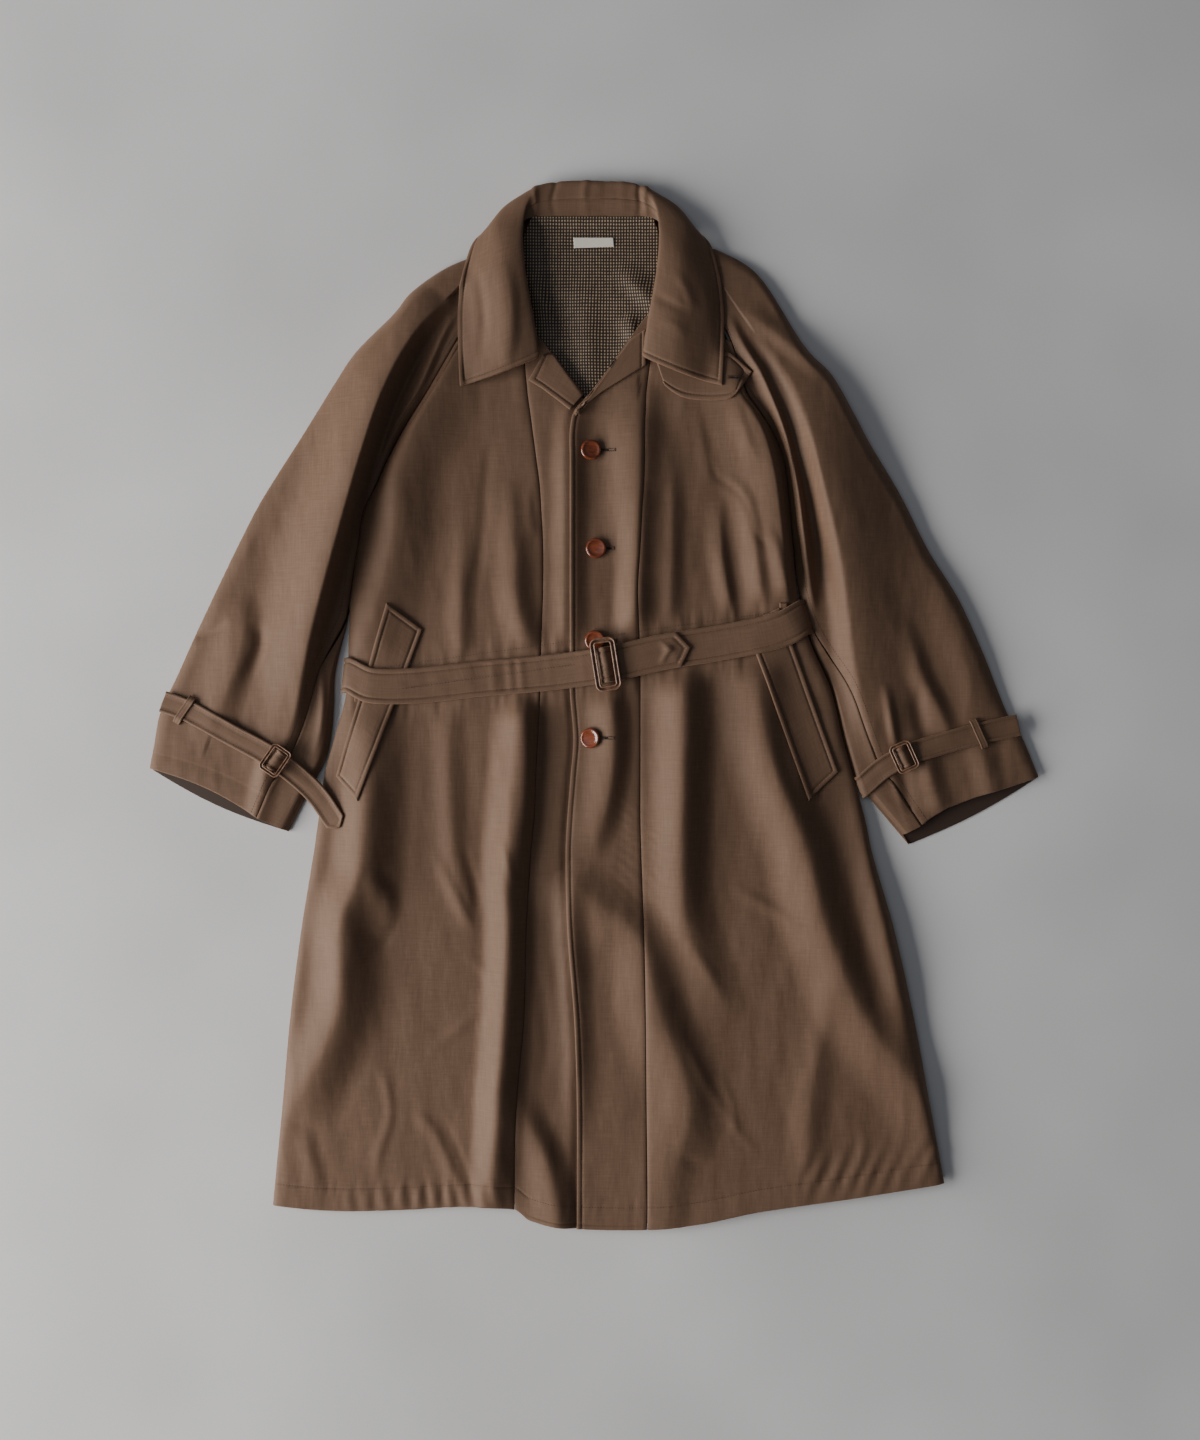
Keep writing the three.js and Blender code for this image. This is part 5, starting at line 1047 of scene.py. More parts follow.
# ---- Welts, lapels and tab ------------------------------------------------------------
def laid_trim(name, node, plan, thickness, sewn, rolled, clearance=0.5, stiff=3.0,
              stitch_at=EDGE_STITCH):
    """A trim laid on the coat. `sewn` and `rolled` say which of its four sides are stitched and rounded."""
    x, y, sides = plan
    inner = settled(x, y, clearance, stiff)
    edge = np.full(x.shape, 1e6)
    for distance, is_sewn in zip(sides, sewn):
        if is_sewn:
            edge = np.minimum(edge, distance)
    amount = thickness + (stitch_groove(edge, stitch_at) if any(sewn) else 0)
    for distance, radius in zip(sides, rolled):
        amount = amount - np.minimum(edge_roll(distance, radius), thickness * 0.9)
    x, y, z = raised(x, y, inner, amount)
    lay(x, y, z)
    obj = cloth_piece(name, (x, y, z), coat_cloth, [node], thickness * 0.85)
    for k, (distance, is_sewn) in enumerate(zip(sides, sewn)):
        if not is_sewn:
            continue
        if k < 2:
            j = np.argmin(np.abs(distance[len(distance) // 2] - stitch_at))
            keep = edge[:, j] > stitch_at - 0.7
            sew(x[keep, j], y[keep, j], z[keep, j])
        else:
            i = np.argmin(np.abs(distance[:, distance.shape[1] // 2] - stitch_at))
            keep = edge[i] > stitch_at - 0.7
            sew(x[i, keep], y[i, keep], z[i, keep])
    return obj


for side, inner_top, inner_end, outer_top, outer_end in WELTS:
    laid_trim(f"stitched_welt_{side}", f"pocket_welt_{side}",
              strip_between((inner_top, inner_end), (outer_top, outer_end), spaced(CLOSE, 50, CLOSE),
                            spaced(CLOSE, 6, CLOSE)), 2.0, (1, 1, 1, 1), (1.6, 1.6, 1.3, 1.3))

laid_trim("turned_lapel_right", "lapel_right", strip_between(
    ((-60, 403), (-48, 405), (-30, 380), (-13, 358)), ((-77, 374), (-61, 364), (-44, 351), (-29, 339)),
    spaced(CLOSE, 12, (0, 1, 3)), spaced((0, 0.6, 1.4, 2.6, 4.4), 6, CLOSE)),
    DOUBLE_CLOTH, (0, 1, 1, 0), (3.0, 1.4, 1.3, 0), clearance=0.8)
laid_trim("turned_lapel_left", "lapel_left", strip_between(
    ((58, 432), (40, 420), (21, 393), (-3, 358), (-19, 338)),
    ((59, 391), (35, 376), (9, 360), (-10, 345), (-23, 332)),
    spaced(CLOSE, 20, (0, 1, 3)), spaced((0, 0.6, 1.4, 2.6, 4.4), 8, (0, 0.4, 0.9, 1.5, 3))),
    DOUBLE_CLOTH, (0, 0, 1, 0), (3.0, 1.4, 1.3, 0), clearance=0.8)

tab_low = np.array(curve_through([(x, y, 0) for x, y in (
    (80, 367), (92, 358), (103, 353), (125, 350), (145, 350), (156, 351.5), (162, 356))], 6))[:, :2]
tab_up = np.array([(68, 402), (92, 402.5), (125, 403.5), (154, 406), (167, 396), (181, 383)])
share = np.linspace(0, 1, len(tab_low))
tab_up = np.stack([np.interp(share, (0, 0.2, 0.5, 0.78, 0.9, 1), tab_up[:, k]) for k in (0, 1)], axis=-1)
laid_trim("stitched_throat_tab", "throat_tab",
          strip_between(tab_low, tab_up, spaced((0, 2), 34, CLOSE), spaced(CLOSE, 8, CLOSE)),
          DOUBLE_CLOTH, (1, 1, 0, 1), (1.4, 1.4, 0, 1.4), clearance=0.6)


# ---- Collar ------------------------------------------------------------
def collar_line(key):
    near = [row[key] for row in COLLAR]
    far = [(2 * COLLAR_MIDDLE - x, y, z) for x, y, z in near[-2::-1]]
    return curve_through(near + far, 24)


collar = [collar_line(k) for k in range(5)]
over_run = np.concatenate([[0], np.cumsum(np.linalg.norm(np.diff(collar[3], axis=0), axis=1))])
collar_creases = fold_field((
    ("bend", 9, 11, ((86, 494, 0), (98, 484, 0.9), (107, 465, 1.2), (112, 450, 0))),
    ("bend", 10, 9, ((64, 472, 0), (78, 462, -1.2), (96, 452, -1.1), (108, 446, 0))),
    ("bend", 11, 11, ((70, 441, 0), (90, 433, 0.9), (106, 418, 0))),
    ("dip", 11, 11, ((-138, 505, 0), (-130, 472, -1.6), (-128, 430, -1.8), (-133, 395, 0))),
    ("bow", 24, 13, ((-103, 508, 0), (-97, 472, 2.2), (-95, 432, 2.6), (-99, 402, 1.6), (-105, 386, 0))),
    ("bow", 26, 22, ((118, 500, 0), (126, 470, 1.3), (132, 420, 1.4), (130, 385, 0))),
))
back_creases = ((-69, 3.2, 1.3), (-48, 3.0, -1.2), (-12, 4.0, 1.0), (10, 6, -0.5), (31, 5, 0.6),
                (50.5, 2.8, -1.8), (58, 3.0, 1.3))


def behind(x, y, shift=0.0):
    """The upright creases of the collar behind the neck."""
    lean = x - shift * (y - 582)
    lines = sum(h * np.exp(-((lean - c - 1.2 * np.sin(y / 6 + c)) / w) ** 2) for c, w, h in back_creases)
    return lines * smooth((y - 556) / 12)


def collar_rows(offset, share):
    s = offset + share * over_run[-1]
    steps = np.interp(s, over_run, np.arange(len(over_run)))
    low = np.minimum(steps.astype(int), len(over_run) - 2)
    return [mix(line[low], line[low + 1], (steps - low)[:, None]) for line in collar], s


(neck, seam, *_), _ = collar_rows(*spaced((0,), 150, (0,)))
keep = (seam[:, 1] > 515) | (neck[:, 1] > 500)
neck, seam = neck[keep], seam[keep]
t = np.concatenate([[0, 0.03, 0.08], np.linspace(0.15, 0.85, 9), [0.92, 0.97, 1.0]])[None, :, None]
p = neck[:, None] * (1 - t) + seam[:, None] * t
x, y, z = p[..., 0], p[..., 1], p[..., 2]
amount = (0.7 * behind(x, y) - edge_roll(t[..., 0] * 20, 0.9)
          - 0.5 * np.exp(-((1 - t[..., 0]) * 20 / 2.2) ** 2))
x, y, z = raised(x, y, z, amount + 0 * x)
lay(x, y, z)
cloth_piece("sewn_collar_stand", (x, y, z), coat_cloth, ["collar_stand"], CLOTH,
            cell=("up", len(x) // 2, 7))

(_, seam, roll, over, edge), s = collar_rows(*spaced(CLOSE, 210, CLOSE))
rows = []
across_offset, across_share = spaced((0, 0.8, 2, 4), 38, CLOSE)
for a, b, c, d in zip(seam, roll, over, edge):
    line = curve_through((a, b, c, d), 16)
    run = np.concatenate([[0], np.cumsum(np.linalg.norm(np.diff(line, axis=0), axis=1))])
    at = across_offset + across_share * run[-1]
    rows.append(np.stack([np.interp(at, run, line[:, k]) for k in range(3)] + [run[-1] - at], axis=-1))
grid = np.array(rows)
x, y, z, d_edge = (blur(grid[..., k], 1.5, 0) if k == 2 else grid[..., k] for k in range(4))
d_end = np.minimum(s, over_run[-1] - s)[:, None] + 0 * x
wing = smooth((edge[:, 2] - 1) / 6)[:, None]
under = np.stack(raised(x, y, z, np.full(x.shape, -DOUBLE_CLOTH)), axis=-1)
short = np.maximum(bed_at(under[..., 0], under[..., 1]) + 0.6 - under[..., 2], 0) * wing
short = np.maximum(short, blur(blur(short, 6, 0), 2, 1))
z = z + blur(blur(short, 2, 0), 1, 1)
edge_distance = np.minimum(d_edge, d_end)
from_seam = np.arange(x.shape[1])[None, :] + 0 * x
amount = (stitch_groove(edge_distance) - np.minimum(edge_roll(d_edge, 1.5) + edge_roll(d_end, 1.5), 2)
          + wing * collar_creases(x, y) + behind(x, y, 0.1)
          + 0.5 * soft_noise(x, y, 26, 60, 51) * smooth(d_edge / 20) - 0.6 * np.exp(-(from_seam / 1.6) ** 2))
x, y, z = raised(x, y, z, amount)
z = np.maximum(z, 0.05)
lay(x, y, z)
cloth_piece("stitched_collar_fall", (x, y, z), coat_cloth, ["collar_fall"], DOUBLE_CLOTH * 0.9,
            cell=("up", 20, 24))
j = x.shape[1] - 1 - CLOSE.index(EDGE_STITCH)
i = CLOSE.index(EDGE_STITCH)
sew(x[i:-i, j], y[i:-i, j], z[i:-i, j])
for i in (i, len(x) - 1 - i):
    sew(x[i, 6:j], y[i, 6:j], z[i, 6:j])


# ---- Buttons and buttonholes ------------------------------------------------------------
def lie_at(x, y, reach=9.5):
    """The bed's height and upward normal under a small round thing."""
    near = bed_at(np.array([x - reach, x + reach, x, x]), np.array([y, y, y - reach, y + reach]))
    normal = Vector((near[0] - near[1], near[2] - near[3], 2 * reach)).normalized()
    turn = np.linspace(0, 2 * np.pi, 24, endpoint=False)
    ring_x, ring_y = x + 10.5 * np.cos(turn), y + 10.5 * np.sin(turn)
    ring = bed_at(ring_x, ring_y) + (normal.x * (ring_x - x) + normal.y * (ring_y - y)) / normal.z
    return float(max(ring.max(), bed_at(np.array([x]), np.array([y]))[0])) + 0.4, normal


BUTTON_PROFILE = ((0, 2.9), (3.2, 2.95), (6.2, 3.15), (7.8, 3.45), (8.8, 3.85), (9.6, 4.05), (10.4, 3.9),
                  (11.2, 3.4), (11.7, 2.6), (11.8, 1.9), (11.4, 1.1), (10.2, 0.5), (7, 0.2), (0, 0.2))
BUTTON_REACH = 11
BUTTON_HIGH = 4.4
BUTTONHOLE_LENGTHS = (15, 8, 12, 14)


def lathe(bm, profile, segments, place):
    """A turned shape spun from its profile."""
    line = curve_through([(r, 0, z) for r, z in profile], 3)
    line[:, 0] = np.maximum(line[:, 0], 0)
    verts = [bm.verts.new((p[0] * MM, 0, p[2] * MM)) for p in line]
    edges = [bm.edges.new(pair) for pair in zip(verts[:-1], verts[1:])]
    bmesh.ops.spin(bm, geom=verts + edges, cent=(0, 0, 0), axis=(0, 0, 1), angle=2 * math.pi,
                   steps=segments, use_merge=True)
    bmesh.ops.remove_doubles(bm, verts=bm.verts, dist=1e-6)
    bmesh.ops.recalc_face_normals(bm, faces=bm.faces)
    bmesh.ops.transform(bm, matrix=place, verts=bm.verts)


def placed_at(x, y, z, normal=Vector((0, 0, 1)), turn=0.0):
    spot = (np.array([x, y, z]) + CENTRE) * MM
    return (Matrix.Translation(Vector(spot)) @ normal.to_track_quat("Z", "Y").to_matrix().to_4x4()
            @ Matrix.Rotation(turn, 4, "Z"))


def finished(name, bm, material, nodes):
    mesh = bpy.data.meshes.new(name)
    for face in bm.faces:
        face.smooth = True
    bm.to_mesh(mesh)
    bm.free()
    return piece(name, mesh, material, nodes)


for k, (x, y) in enumerate(BUTTONS, 1):
    z, normal = lie_at(x, y)
    bm = bmesh.new()
    lathe(bm, BUTTON_PROFILE, 40, placed_at(x, y, z, normal))
    finished(f"coat_button_{k}", bm, horn, [f"button_{k}"])
    across = np.arange(-BUTTON_REACH, BUTTON_REACH + 1)
    near_x, near_y = np.meshgrid(x + across, y + across)
    lay(near_x, near_y, np.where(np.hypot(near_x - x, near_y - y) < BUTTON_REACH, z + BUTTON_HIGH, 0), 1)


cuts = []  # middle, half length and direction of each buttonhole's cut


def buttonhole(x, y, length, turn, keyhole=False):
    """A cut edged with close stitches across it, with a bar of thread at its far end."""
    ahead, aside = np.array([math.cos(turn), math.sin(turn)]), np.array([-math.sin(turn), math.cos(turn)])
    top = lambda p: np.array([p[0], p[1], bed_at(p[:1], p[1:])[0] + 0.15])
    middle = np.array([x, y]) + ahead * length / 2
    cuts.append((top(middle), length / 2, turn))
    for s in np.arange(0, length + 0.1, 1.0):
        for side in (-1, 1):
            at = np.array([x, y]) + ahead * s
            stitches.append((top(at + aside * side * 0.6), top(at + aside * side * 2.0)))
    for s in (-1.5, -0.8, 0, 0.8, 1.5):
        stitches.append((top(np.array([x, y]) + ahead * length + aside * s),
                         top(np.array([x, y]) + ahead * (length + 2.2) + aside * s)))
    if keyhole:
        for a in np.arange(0, 2 * np.pi, 0.45):
            spoke = ahead * math.cos(a) + aside * math.sin(a)
            eye = np.array([x, y]) + ahead * length
            stitches.append((top(eye + spoke * 1.3), top(eye + spoke * 3.0)))
        cuts.append((top(np.array([x, y]) + ahead * length), 1.2, turn))


for (x, y), length in zip(BUTTONS, BUTTONHOLE_LENGTHS):
    buttonhole(x + 11.5, y + 0.3, length, math.radians(-1))
buttonhole(17, 388, 9, math.radians(58))
buttonhole(152, 376, 12, math.radians(-4), keyhole=True)


# ---- Belt ------------------------------------------------------------
def strip_plan(centre_x, centre_y, slope_x, slope_y, k):
    """A strip's grid in plan, square to its line."""
    length = np.hypot(slope_x, slope_y)
    return centre_x - slope_y / length * k, centre_y + slope_x / length * k


def hump(along, reach):
    return np.where(np.abs(along) < reach, (1 + np.cos(np.pi * np.clip(along / reach, -1, 1))) / 2, 0)


def pass_through(z, along, width, depth, bar_reach):
    """Lifts a strip over a buckle's bar. Gives its heights and the level the ring lies at."""
    low = float((z + DOUBLE_CLOTH)[np.abs(along) < width / 2 + 2].max()) + 0.5
    lifted = low + depth * 0.55
    return z + hump(along, bar_reach) * np.maximum(lifted - z, 0), low


def slope_at(x):
    return (belt_y(x + 4) - belt_y(x - 4)) / 8


BELT_RING = {"width": 29.5, "height": 61.5, "bar": 6.2, "depth": 4.4}
STRAP_RING = {"width": 26, "height": 35, "bar": 4.6, "depth": 3.4}
BAR_REACH = 8.0
BELT_LIES = {"clearance": 0.5, "stiff": 7.0, "rounds": 8, "across": 4.0}
STRAP_LIES = {"clearance": 0.5, "stiff": 6.0, "rounds": 8, "across": 4.0}
BELT_LOW_FROM, BELT_LOW_TO = 16.0, 233.0
BELT_UP_FROM = -268.0
BELT_TIP_SLANT = 0.826  # cosine of the slant of the tip's sides
STRIP_ACROSS = spaced(CLOSE, 5, CLOSE)
LOOP_WIDTH = 9.0
LOOP_ACROSS = spaced((0, 0.4, 1, 1.8), 4, (0, 0.4, 1, 1.8))
k = (STRIP_ACROSS[0] + STRIP_ACROSS[1] * BELT_WIDTH - BELT_WIDTH / 2)[None, :]

low_x = np.arange(BELT_LOW_FROM, BELT_LOW_TO, 2.5)[:, None] + 0 * k
x_low, y_low = strip_plan(low_x, belt_y(low_x), 1.0, slope_at(low_x), k)
z_low = settled(x_low, y_low, **BELT_LIES) + 3.0 * (1 - smooth((low_x - 14) / 16))
lay(x_low, y_low, z_low + DOUBLE_CLOTH)

tip_x = BELT_TIP_X + BELT_TIP_POINT * (1 - np.abs(k) / (BELT_WIDTH / 2))
along_offset, along_share = spaced((0,), 124, CLOSE)
up_x = BELT_UP_FROM + along_offset[:, None] + along_share[:, None] * (tip_x - BELT_UP_FROM)
x_up, y_up = strip_plan(up_x, belt_y(up_x), 1.0, slope_at(up_x), k)
z_up = settled(x_up, y_up, **BELT_LIES)
crinkle = np.exp(-((up_x + 100) / 78) ** 4) * 0.55 * soft_noise(up_x, k, 6.5, 60, 61)
crinkle = crinkle + 0.35 * soft_noise(up_x, k, 15, 30, 62)
bow = fold_field((("crossed wrinkle", 5, 6, ((72, -14, 0), (82, -2, 1.5), (92, 12, 0))),
                  ("crossed wrinkle", 5, 6, ((76, 14, 0), (85, 2, 1.3), (95, -12, 0)))))
crinkle = crinkle + bow(up_x, k + 0 * up_x)
z_up, buckle_low = pass_through(z_up, up_x - BUCKLE_X, 27, BELT_RING["depth"], BAR_REACH)

wrap_left = curve_through([(x, 0, z) for x, z in ((226, 16.2), *LEFT_WRAP)], 6)[7:]
wrap_right = curve_through([(x, 0, z) for x, z in (*RIGHT_WRAP, (-272, 16))], 6)[:-7]
under_x = np.linspace(LEFT_WRAP[-1][0], RIGHT_WRAP[0][0], 90)[1:-1]
round_x = np.concatenate([wrap_left[:, 0], under_x, wrap_right[:, 0]])
round_z = np.concatenate([wrap_left[:, 2], 2.5 + 0 * under_x, wrap_right[:, 2]])
share = np.clip(belt_back_share(round_x), 0, 1)
round_y = mix(BELT_BACK_RIGHT, BELT_BACK_LEFT, share)
round_slope = mix(-0.1, 0.3, share)
x_round, y_round = strip_plan(round_x[:, None], round_y[:, None], 1.0, round_slope[:, None], k)
z_round = round_z[:, None] + 0 * k
x = np.concatenate([x_low, x_round, x_up])
y = np.concatenate([y_low, y_round, y_up])
z = np.concatenate([z_low, z_round, z_up])
n_low, n_round = len(x_low), len(x_round)
for _ in range(3):
    for c in (x, y, z):
        soft = blur(c, 1.6, 0)
        for start in (n_low, n_low + n_round):
            c[start - 7:start + 7] = soft[start - 7:start + 7]
d_side = BELT_WIDTH / 2 - np.abs(k) + 0 * x
d_tip = np.full(x.shape, 1e3)
d_tip[-len(up_x):] = (tip_x - up_x) * BELT_TIP_SLANT
edge_distance = np.minimum(d_side, d_tip)
amount = (DOUBLE_CLOTH + stitch_groove(edge_distance, EDGE_STITCH, 0.85)
          - np.minimum(edge_roll(d_side, 1.4) + edge_roll(d_tip, 1.4), 2))
amount[-len(up_x):] += 1.5 * crinkle * smooth(d_side[-len(up_x):] / 5)
x, y, z = raised(x, y, z, amount)
z = np.maximum(z, 0.05)
lay(x[-len(up_x):], y[-len(up_x):], z[-len(up_x):])
cloth_piece("stitched_belt", (x, y, z), coat_cloth, ["belt"], DOUBLE_CLOTH * 0.85,
            cell=("up", 20, 12))
for column in (CLOSE.index(EDGE_STITCH), len(k[0]) - 1 - CLOSE.index(EDGE_STITCH)):
    keep = np.arange(len(x))[d_tip[:, column] > EDGE_STITCH - 0.6]
    keep = keep[(keep < n_low) | (keep > n_low + n_round)]
    sew(x[keep, column], y[keep, column], z[keep, column])
i = len(x) - 1 - CLOSE.index(EDGE_STITCH)
keep = d_side[i] > EDGE_STITCH - 0.6
sew(x[i, keep], y[i, keep], z[i, keep])

# belt loops, folded narrow and sewn at both ends, under the belt's edges
for side, loop_x, top, low in (("left", 216, 117, 62), ("right", -272, 45, 4)):
    x, y, sides = strip_between(
        ((loop_x - LOOP_WIDTH / 2, top), (loop_x - LOOP_WIDTH / 2, low)),
        ((loop_x + LOOP_WIDTH / 2, top), (loop_x + LOOP_WIDTH / 2, low)),
        spaced((0, 1, 2), 26, (0, 1, 2)), LOOP_ACROSS)
    z = (under_height(x, y) if side == "right" else over_height(x, y)) + 0.3
    x, y, z = raised(x, y, z, CLOTH - edge_roll(sides[0], 1.2) - edge_roll(sides[1], 1.2))
    cloth_piece(f"folded_belt_loop_{side}", (x, y, z), coat_cloth, [f"belt_loop_{side}"], 1.2)


# ---- Buckles ------------------------------------------------------------
RING_SECTION = ((0, 0.4), (-0.02, 0.62), (0.04, 0.92), (0.15, 1.0), (0.28, 0.9), (0.4, 0.5), (0.5, 0.38),
                (0.6, 0.5), (0.72, 0.9), (0.85, 1.0), (0.96, 0.92), (1.02, 0.62), (1, 0.4), (0.9, 0.06),
                (0.5, 0.0), (0.1, 0.06))


def buckle(name, node, x, y, z, turn, width, height, bar, depth):
    """A ring covered in leather: two burnished ridges with a groove between them."""
    radius = bar * 1.3
    path, out = [], []
    for cx, cy, start in ((1, 1, 0), (-1, 1, 90), (-1, -1, 180), (1, -1, 270)):
        for a in np.radians(np.linspace(start, start + 90, 9)):
            path.append((cx * (width / 2 - radius) + radius * math.cos(a),
                         cy * (height / 2 - radius) + radius * math.sin(a)))
            out.append((math.cos(a), math.sin(a)))
    path, out = np.array(path + path[:1]), np.array(out + out[:1])
    section = curve_through([(u, v, 0) for u, v in RING_SECTION + RING_SECTION[:1]], 2)
    inset = bar * (1 - section[:, 0])
    gx = path[:, :1] - out[:, :1] * inset
    gy = path[:, 1:] - out[:, 1:] * inset
    gz = section[:, 1] * depth + 0 * gx
    bm = bmesh.new()
    mesh = grid_mesh("ring", gx - CENTRE[0], gy - CENTRE[1], gz)
    bm.from_mesh(mesh)
    bpy.data.meshes.remove(mesh)
    bmesh.ops.remove_doubles(bm, verts=bm.verts, dist=2e-5)
    bmesh.ops.recalc_face_normals(bm, faces=bm.faces)
    bmesh.ops.transform(bm, matrix=placed_at(x, y, z, turn=turn), verts=bm.verts)
    return finished(name, bm, leather, [node])


buckle("covered_belt_buckle", "belt_buckle", BUCKLE_X, BUCKLE_Y, buckle_low, math.radians(9), **BELT_RING)


# ---- Sleeve straps ------------------------------------------------------------
STRAP_WIDTH = 25.0
STRAP_STITCH = 4.4
STRAP_COLUMNS = (0, 0.5, 1.2, 2.4, 4.2, 12.5, 20.8, 22.6, 23.8, 24.5, 25)
STRAP_LOOP_REACH = 17.5


def strap(side, line, bar_at, tip, wrap, loop_x, loop_y):
    """A strap round a sleeve, with its buckle and its loop. It ends in a tip, or wraps under the sleeve."""
    curve = curve_through([(x, y, 0) for x, y in line], 24)[:, :2]
    run = np.concatenate([[0], np.cumsum(np.hypot(*np.diff(curve, axis=0).T))])
    k = (np.interp(np.linspace(0, 1, 19), np.linspace(0, 1, 11),
                   STRAP_COLUMNS) - STRAP_WIDTH / 2)[None, :]
    end = run[-1] + (0.35 * k if wrap else tip * (1 - (np.abs(k) / (STRAP_WIDTH / 2)) ** 1.3))
    offset, share = spaced((0, 0.5, 1.2), 74, (0, 0.4, 0.9, 1.6, 3, 4.4, 5.4, 7))
    s = offset[:, None] + share[:, None] * end
    beyond = np.maximum(s - run[-1], 0)
    cx, cy = (np.interp(s, run, curve[:, c]) for c in (0, 1))
    tangent = np.gradient(curve, run, axis=0)
    tx, ty = (np.interp(s, run, tangent[:, c]) for c in (0, 1))
    length = np.hypot(tx, ty)
    tx, ty = tx / length, ty / length
    x, y = strip_plan(cx + tx * beyond, cy + ty * beyond, tx, ty, k)
    z = settled(x, y, **STRAP_LIES)
    z, low = pass_through(z, s - bar_at, 25, STRAP_RING["depth"], BAR_REACH)
    at_bar = [float(np.interp(bar_at, run, curve[:, c])) for c in (0, 1)]
    direction = [float(np.interp(bar_at, run, tangent[:, c])) for c in (0, 1)]
    if wrap:
        lip = float(z[-1].mean())
        turn = curve_through([(0, 0, lip)] + [(out, 0, lip * part) for out, part in wrap], 6)[1:]
        x = np.concatenate([x, x[-1] + tx[-1] * turn[:, :1]])
        y = np.concatenate([y, y[-1] + ty[-1] * turn[:, :1]])
        z = np.concatenate([z, turn[:, 2:] + 0 * x[-1]])
        z[-len(turn) - 3:-3] = blur(z, 1.5, 0)[-len(turn) - 3:-3]
    side_distance = STRAP_WIDTH / 2 - np.abs(k) + 0 * x
    tip_distance = np.full(x.shape, 1e3)
    if not wrap:
        tip_distance = end - s
    edge = np.minimum(side_distance, tip_distance)
    noise = 0.3 * soft_noise(x, y, 11, 11, 71) + 0.3 * soft_noise(x, y, 22, 22, 72)
    amount = (DOUBLE_CLOTH + stitch_groove(edge, STRAP_STITCH, 0.8) + noise * smooth(side_distance / 5)
              - np.minimum(edge_roll(side_distance, 1.3) + edge_roll(tip_distance, 1.3), 2))
    x, y, z = raised(x, y, z, amount)
    lay(x, y, z)
    cloth_piece(f"stitched_sleeve_strap_{side}", (x, y, z), coat_cloth,
                [f"sleeve_strap_{side}"], DOUBLE_CLOTH * 0.85)
    for line_at in (STRAP_STITCH - STRAP_WIDTH / 2, STRAP_WIDTH / 2 - STRAP_STITCH):
        column = np.argmin(np.abs(k[0] - line_at))
        keep = tip_distance[:, column] > STRAP_STITCH - 0.6
        sew(x[keep, column], y[keep, column], z[keep, column])
    buckle(f"covered_strap_buckle_{side}", f"strap_buckle_{side}", at_bar[0], at_bar[1], low,
           math.atan2(direction[1], direction[0]), **STRAP_RING)
    across = np.array([-direction[1], direction[0]]) / np.hypot(*direction)
    ahead = np.array([direction[0], direction[1]]) / np.hypot(*direction)
    ends = [np.array([loop_x, loop_y]) + across * q for q in (-STRAP_LOOP_REACH, STRAP_LOOP_REACH)]
    beside = ahead * LOOP_WIDTH / 2
    x, y, sides = strip_between([e - beside for e in ends], [e + beside for e in ends],
                                spaced((0, 1, 2), 22, (0, 1, 2)), LOOP_ACROSS)
    z = settled(x, y, 0.3, 1.5, 4, 2.5)
    x, y, z = raised(x, y, z, CLOTH - edge_roll(sides[0], 1.2) - edge_roll(sides[1], 1.2)
                     + stitch_groove(np.minimum(sides[0], sides[1]), 2.2, 0.35, 0.7))
    cloth_piece(f"folded_strap_loop_{side}", (x, y, z), coat_cloth,
                [f"strap_loop_{side}"], 1.2)


strap("right", ((-497, 4), (-472, -5), (-420, -33), (-365, -64), (-322, -101), (-298, -134)),
      148, 9, (), -472, -6)
strap("left", ((487, -23), (441, -33), (400, -44), (358, -58), (332, -72), (309, -92)), 138, 0,
      ((3, 0.85), (4.6, 0.55), (4.2, 0.25)), 441, -33)

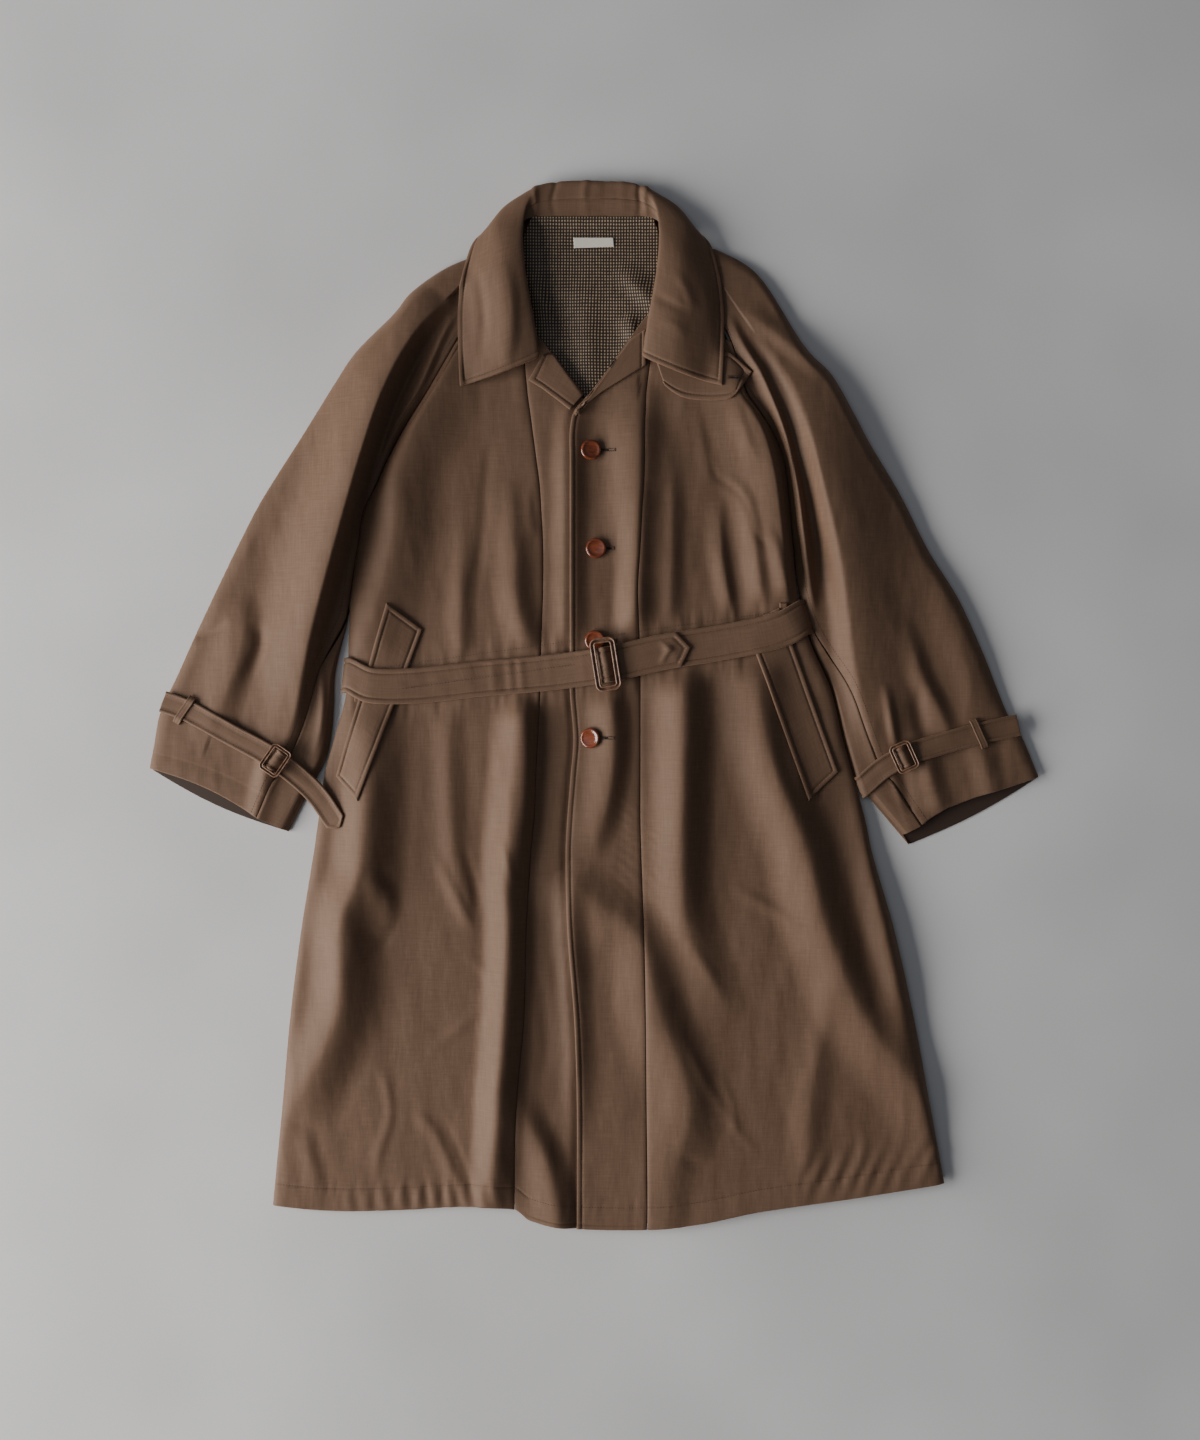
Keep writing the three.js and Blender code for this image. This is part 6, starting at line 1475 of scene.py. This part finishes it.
# ---- Stitches ------------------------------------------------------------
bm = bmesh.new()
for a, b in stitches:
    a, b = Vector(a), Vector(b)
    run = b - a
    middle = (a + b) / 2 + Vector((0, 0, 0.05))
    spot = (np.array(middle) + CENTRE) * MM
    turn = run.to_track_quat("X", "Z").to_matrix().to_4x4()
    size = Matrix.Diagonal((run.length / 2 * MM, 0.36 * MM, 0.26 * MM, 1))
    bmesh.ops.create_icosphere(bm, subdivisions=1, radius=1,
                               matrix=Matrix.Translation(Vector(spot)) @ turn @ size)
finished("topstitching", bm, thread, [])
# Flat near-black ovals on the buttonholes: painted shade where the slits open.
bm = bmesh.new()
for middle, half, turn in cuts:
    size = Matrix.Diagonal((half * MM, 0.75 * MM, 0.2 * MM, 1))
    bmesh.ops.create_icosphere(bm, subdivisions=2, radius=1, matrix=placed_at(*middle, turn=turn) @ size)
finished("buttonhole_slits_painted_shade", bm, buttonhole_slit_painted_shade, [])

# ---- Room, light and camera ------------------------------------------------------------
bm = bmesh.new()
bmesh.ops.create_grid(bm, x_segments=8, y_segments=8, size=6)
mesh = bpy.data.meshes.new("floor")
bm.to_mesh(mesh)
bm.free()
floor = bpy.data.objects.new("floor", mesh)
bpy.context.scene.collection.objects.link(floor)
floor.location.z = -0.0002
mesh.materials.append(plain_finish("painted_floor", "#dcdddf", 0.9, 3.0, 0.0002))

world = bpy.data.worlds.new("room")
bpy.context.scene.world = world
world.use_nodes = True
world.node_tree.nodes["Background"].inputs[0].default_value = colour("#cfd3d8")
world.node_tree.nodes["Background"].inputs[1].default_value = 0.16


def soft_box(name, azimuth, elevation, distance, size, watts, tint):
    lamp = bpy.data.lights.new(name, "AREA")
    lamp.shape, lamp.size, lamp.size_y = "RECTANGLE", size[0], size[1]
    lamp.energy = watts
    lamp.color = colour(tint)[:3]
    obj = bpy.data.objects.new(name, lamp)
    a, e = math.radians(azimuth), math.radians(elevation)
    away = Vector((math.cos(a) * math.cos(e), math.sin(a) * math.cos(e), math.sin(e)))
    obj.location = away * distance
    obj.rotation_mode = "QUATERNION"
    obj.rotation_quaternion = away.to_track_quat("Z", "Y")
    bpy.context.scene.collection.objects.link(obj)


soft_box("window", 194, 21, 3.4, (3.0, 1.9), 240, "#fffaf4")
soft_box("ceiling", 150, 64, 3.6, (2.6, 2.6), 9, "#f4f6ff")

LENS_MM = 47.57
CAMERA_PLACE = (0.00675, -0.01657, 2.2)
camera = bpy.data.objects.new("camera", bpy.data.cameras.new("camera"))
camera.data.sensor_width = 36
camera.data.lens = LENS_MM
camera.location = CAMERA_PLACE
camera.data.clip_end = 50
bpy.context.scene.collection.objects.link(camera)
bpy.context.scene.camera = camera

bpy.context.view_layer.update()
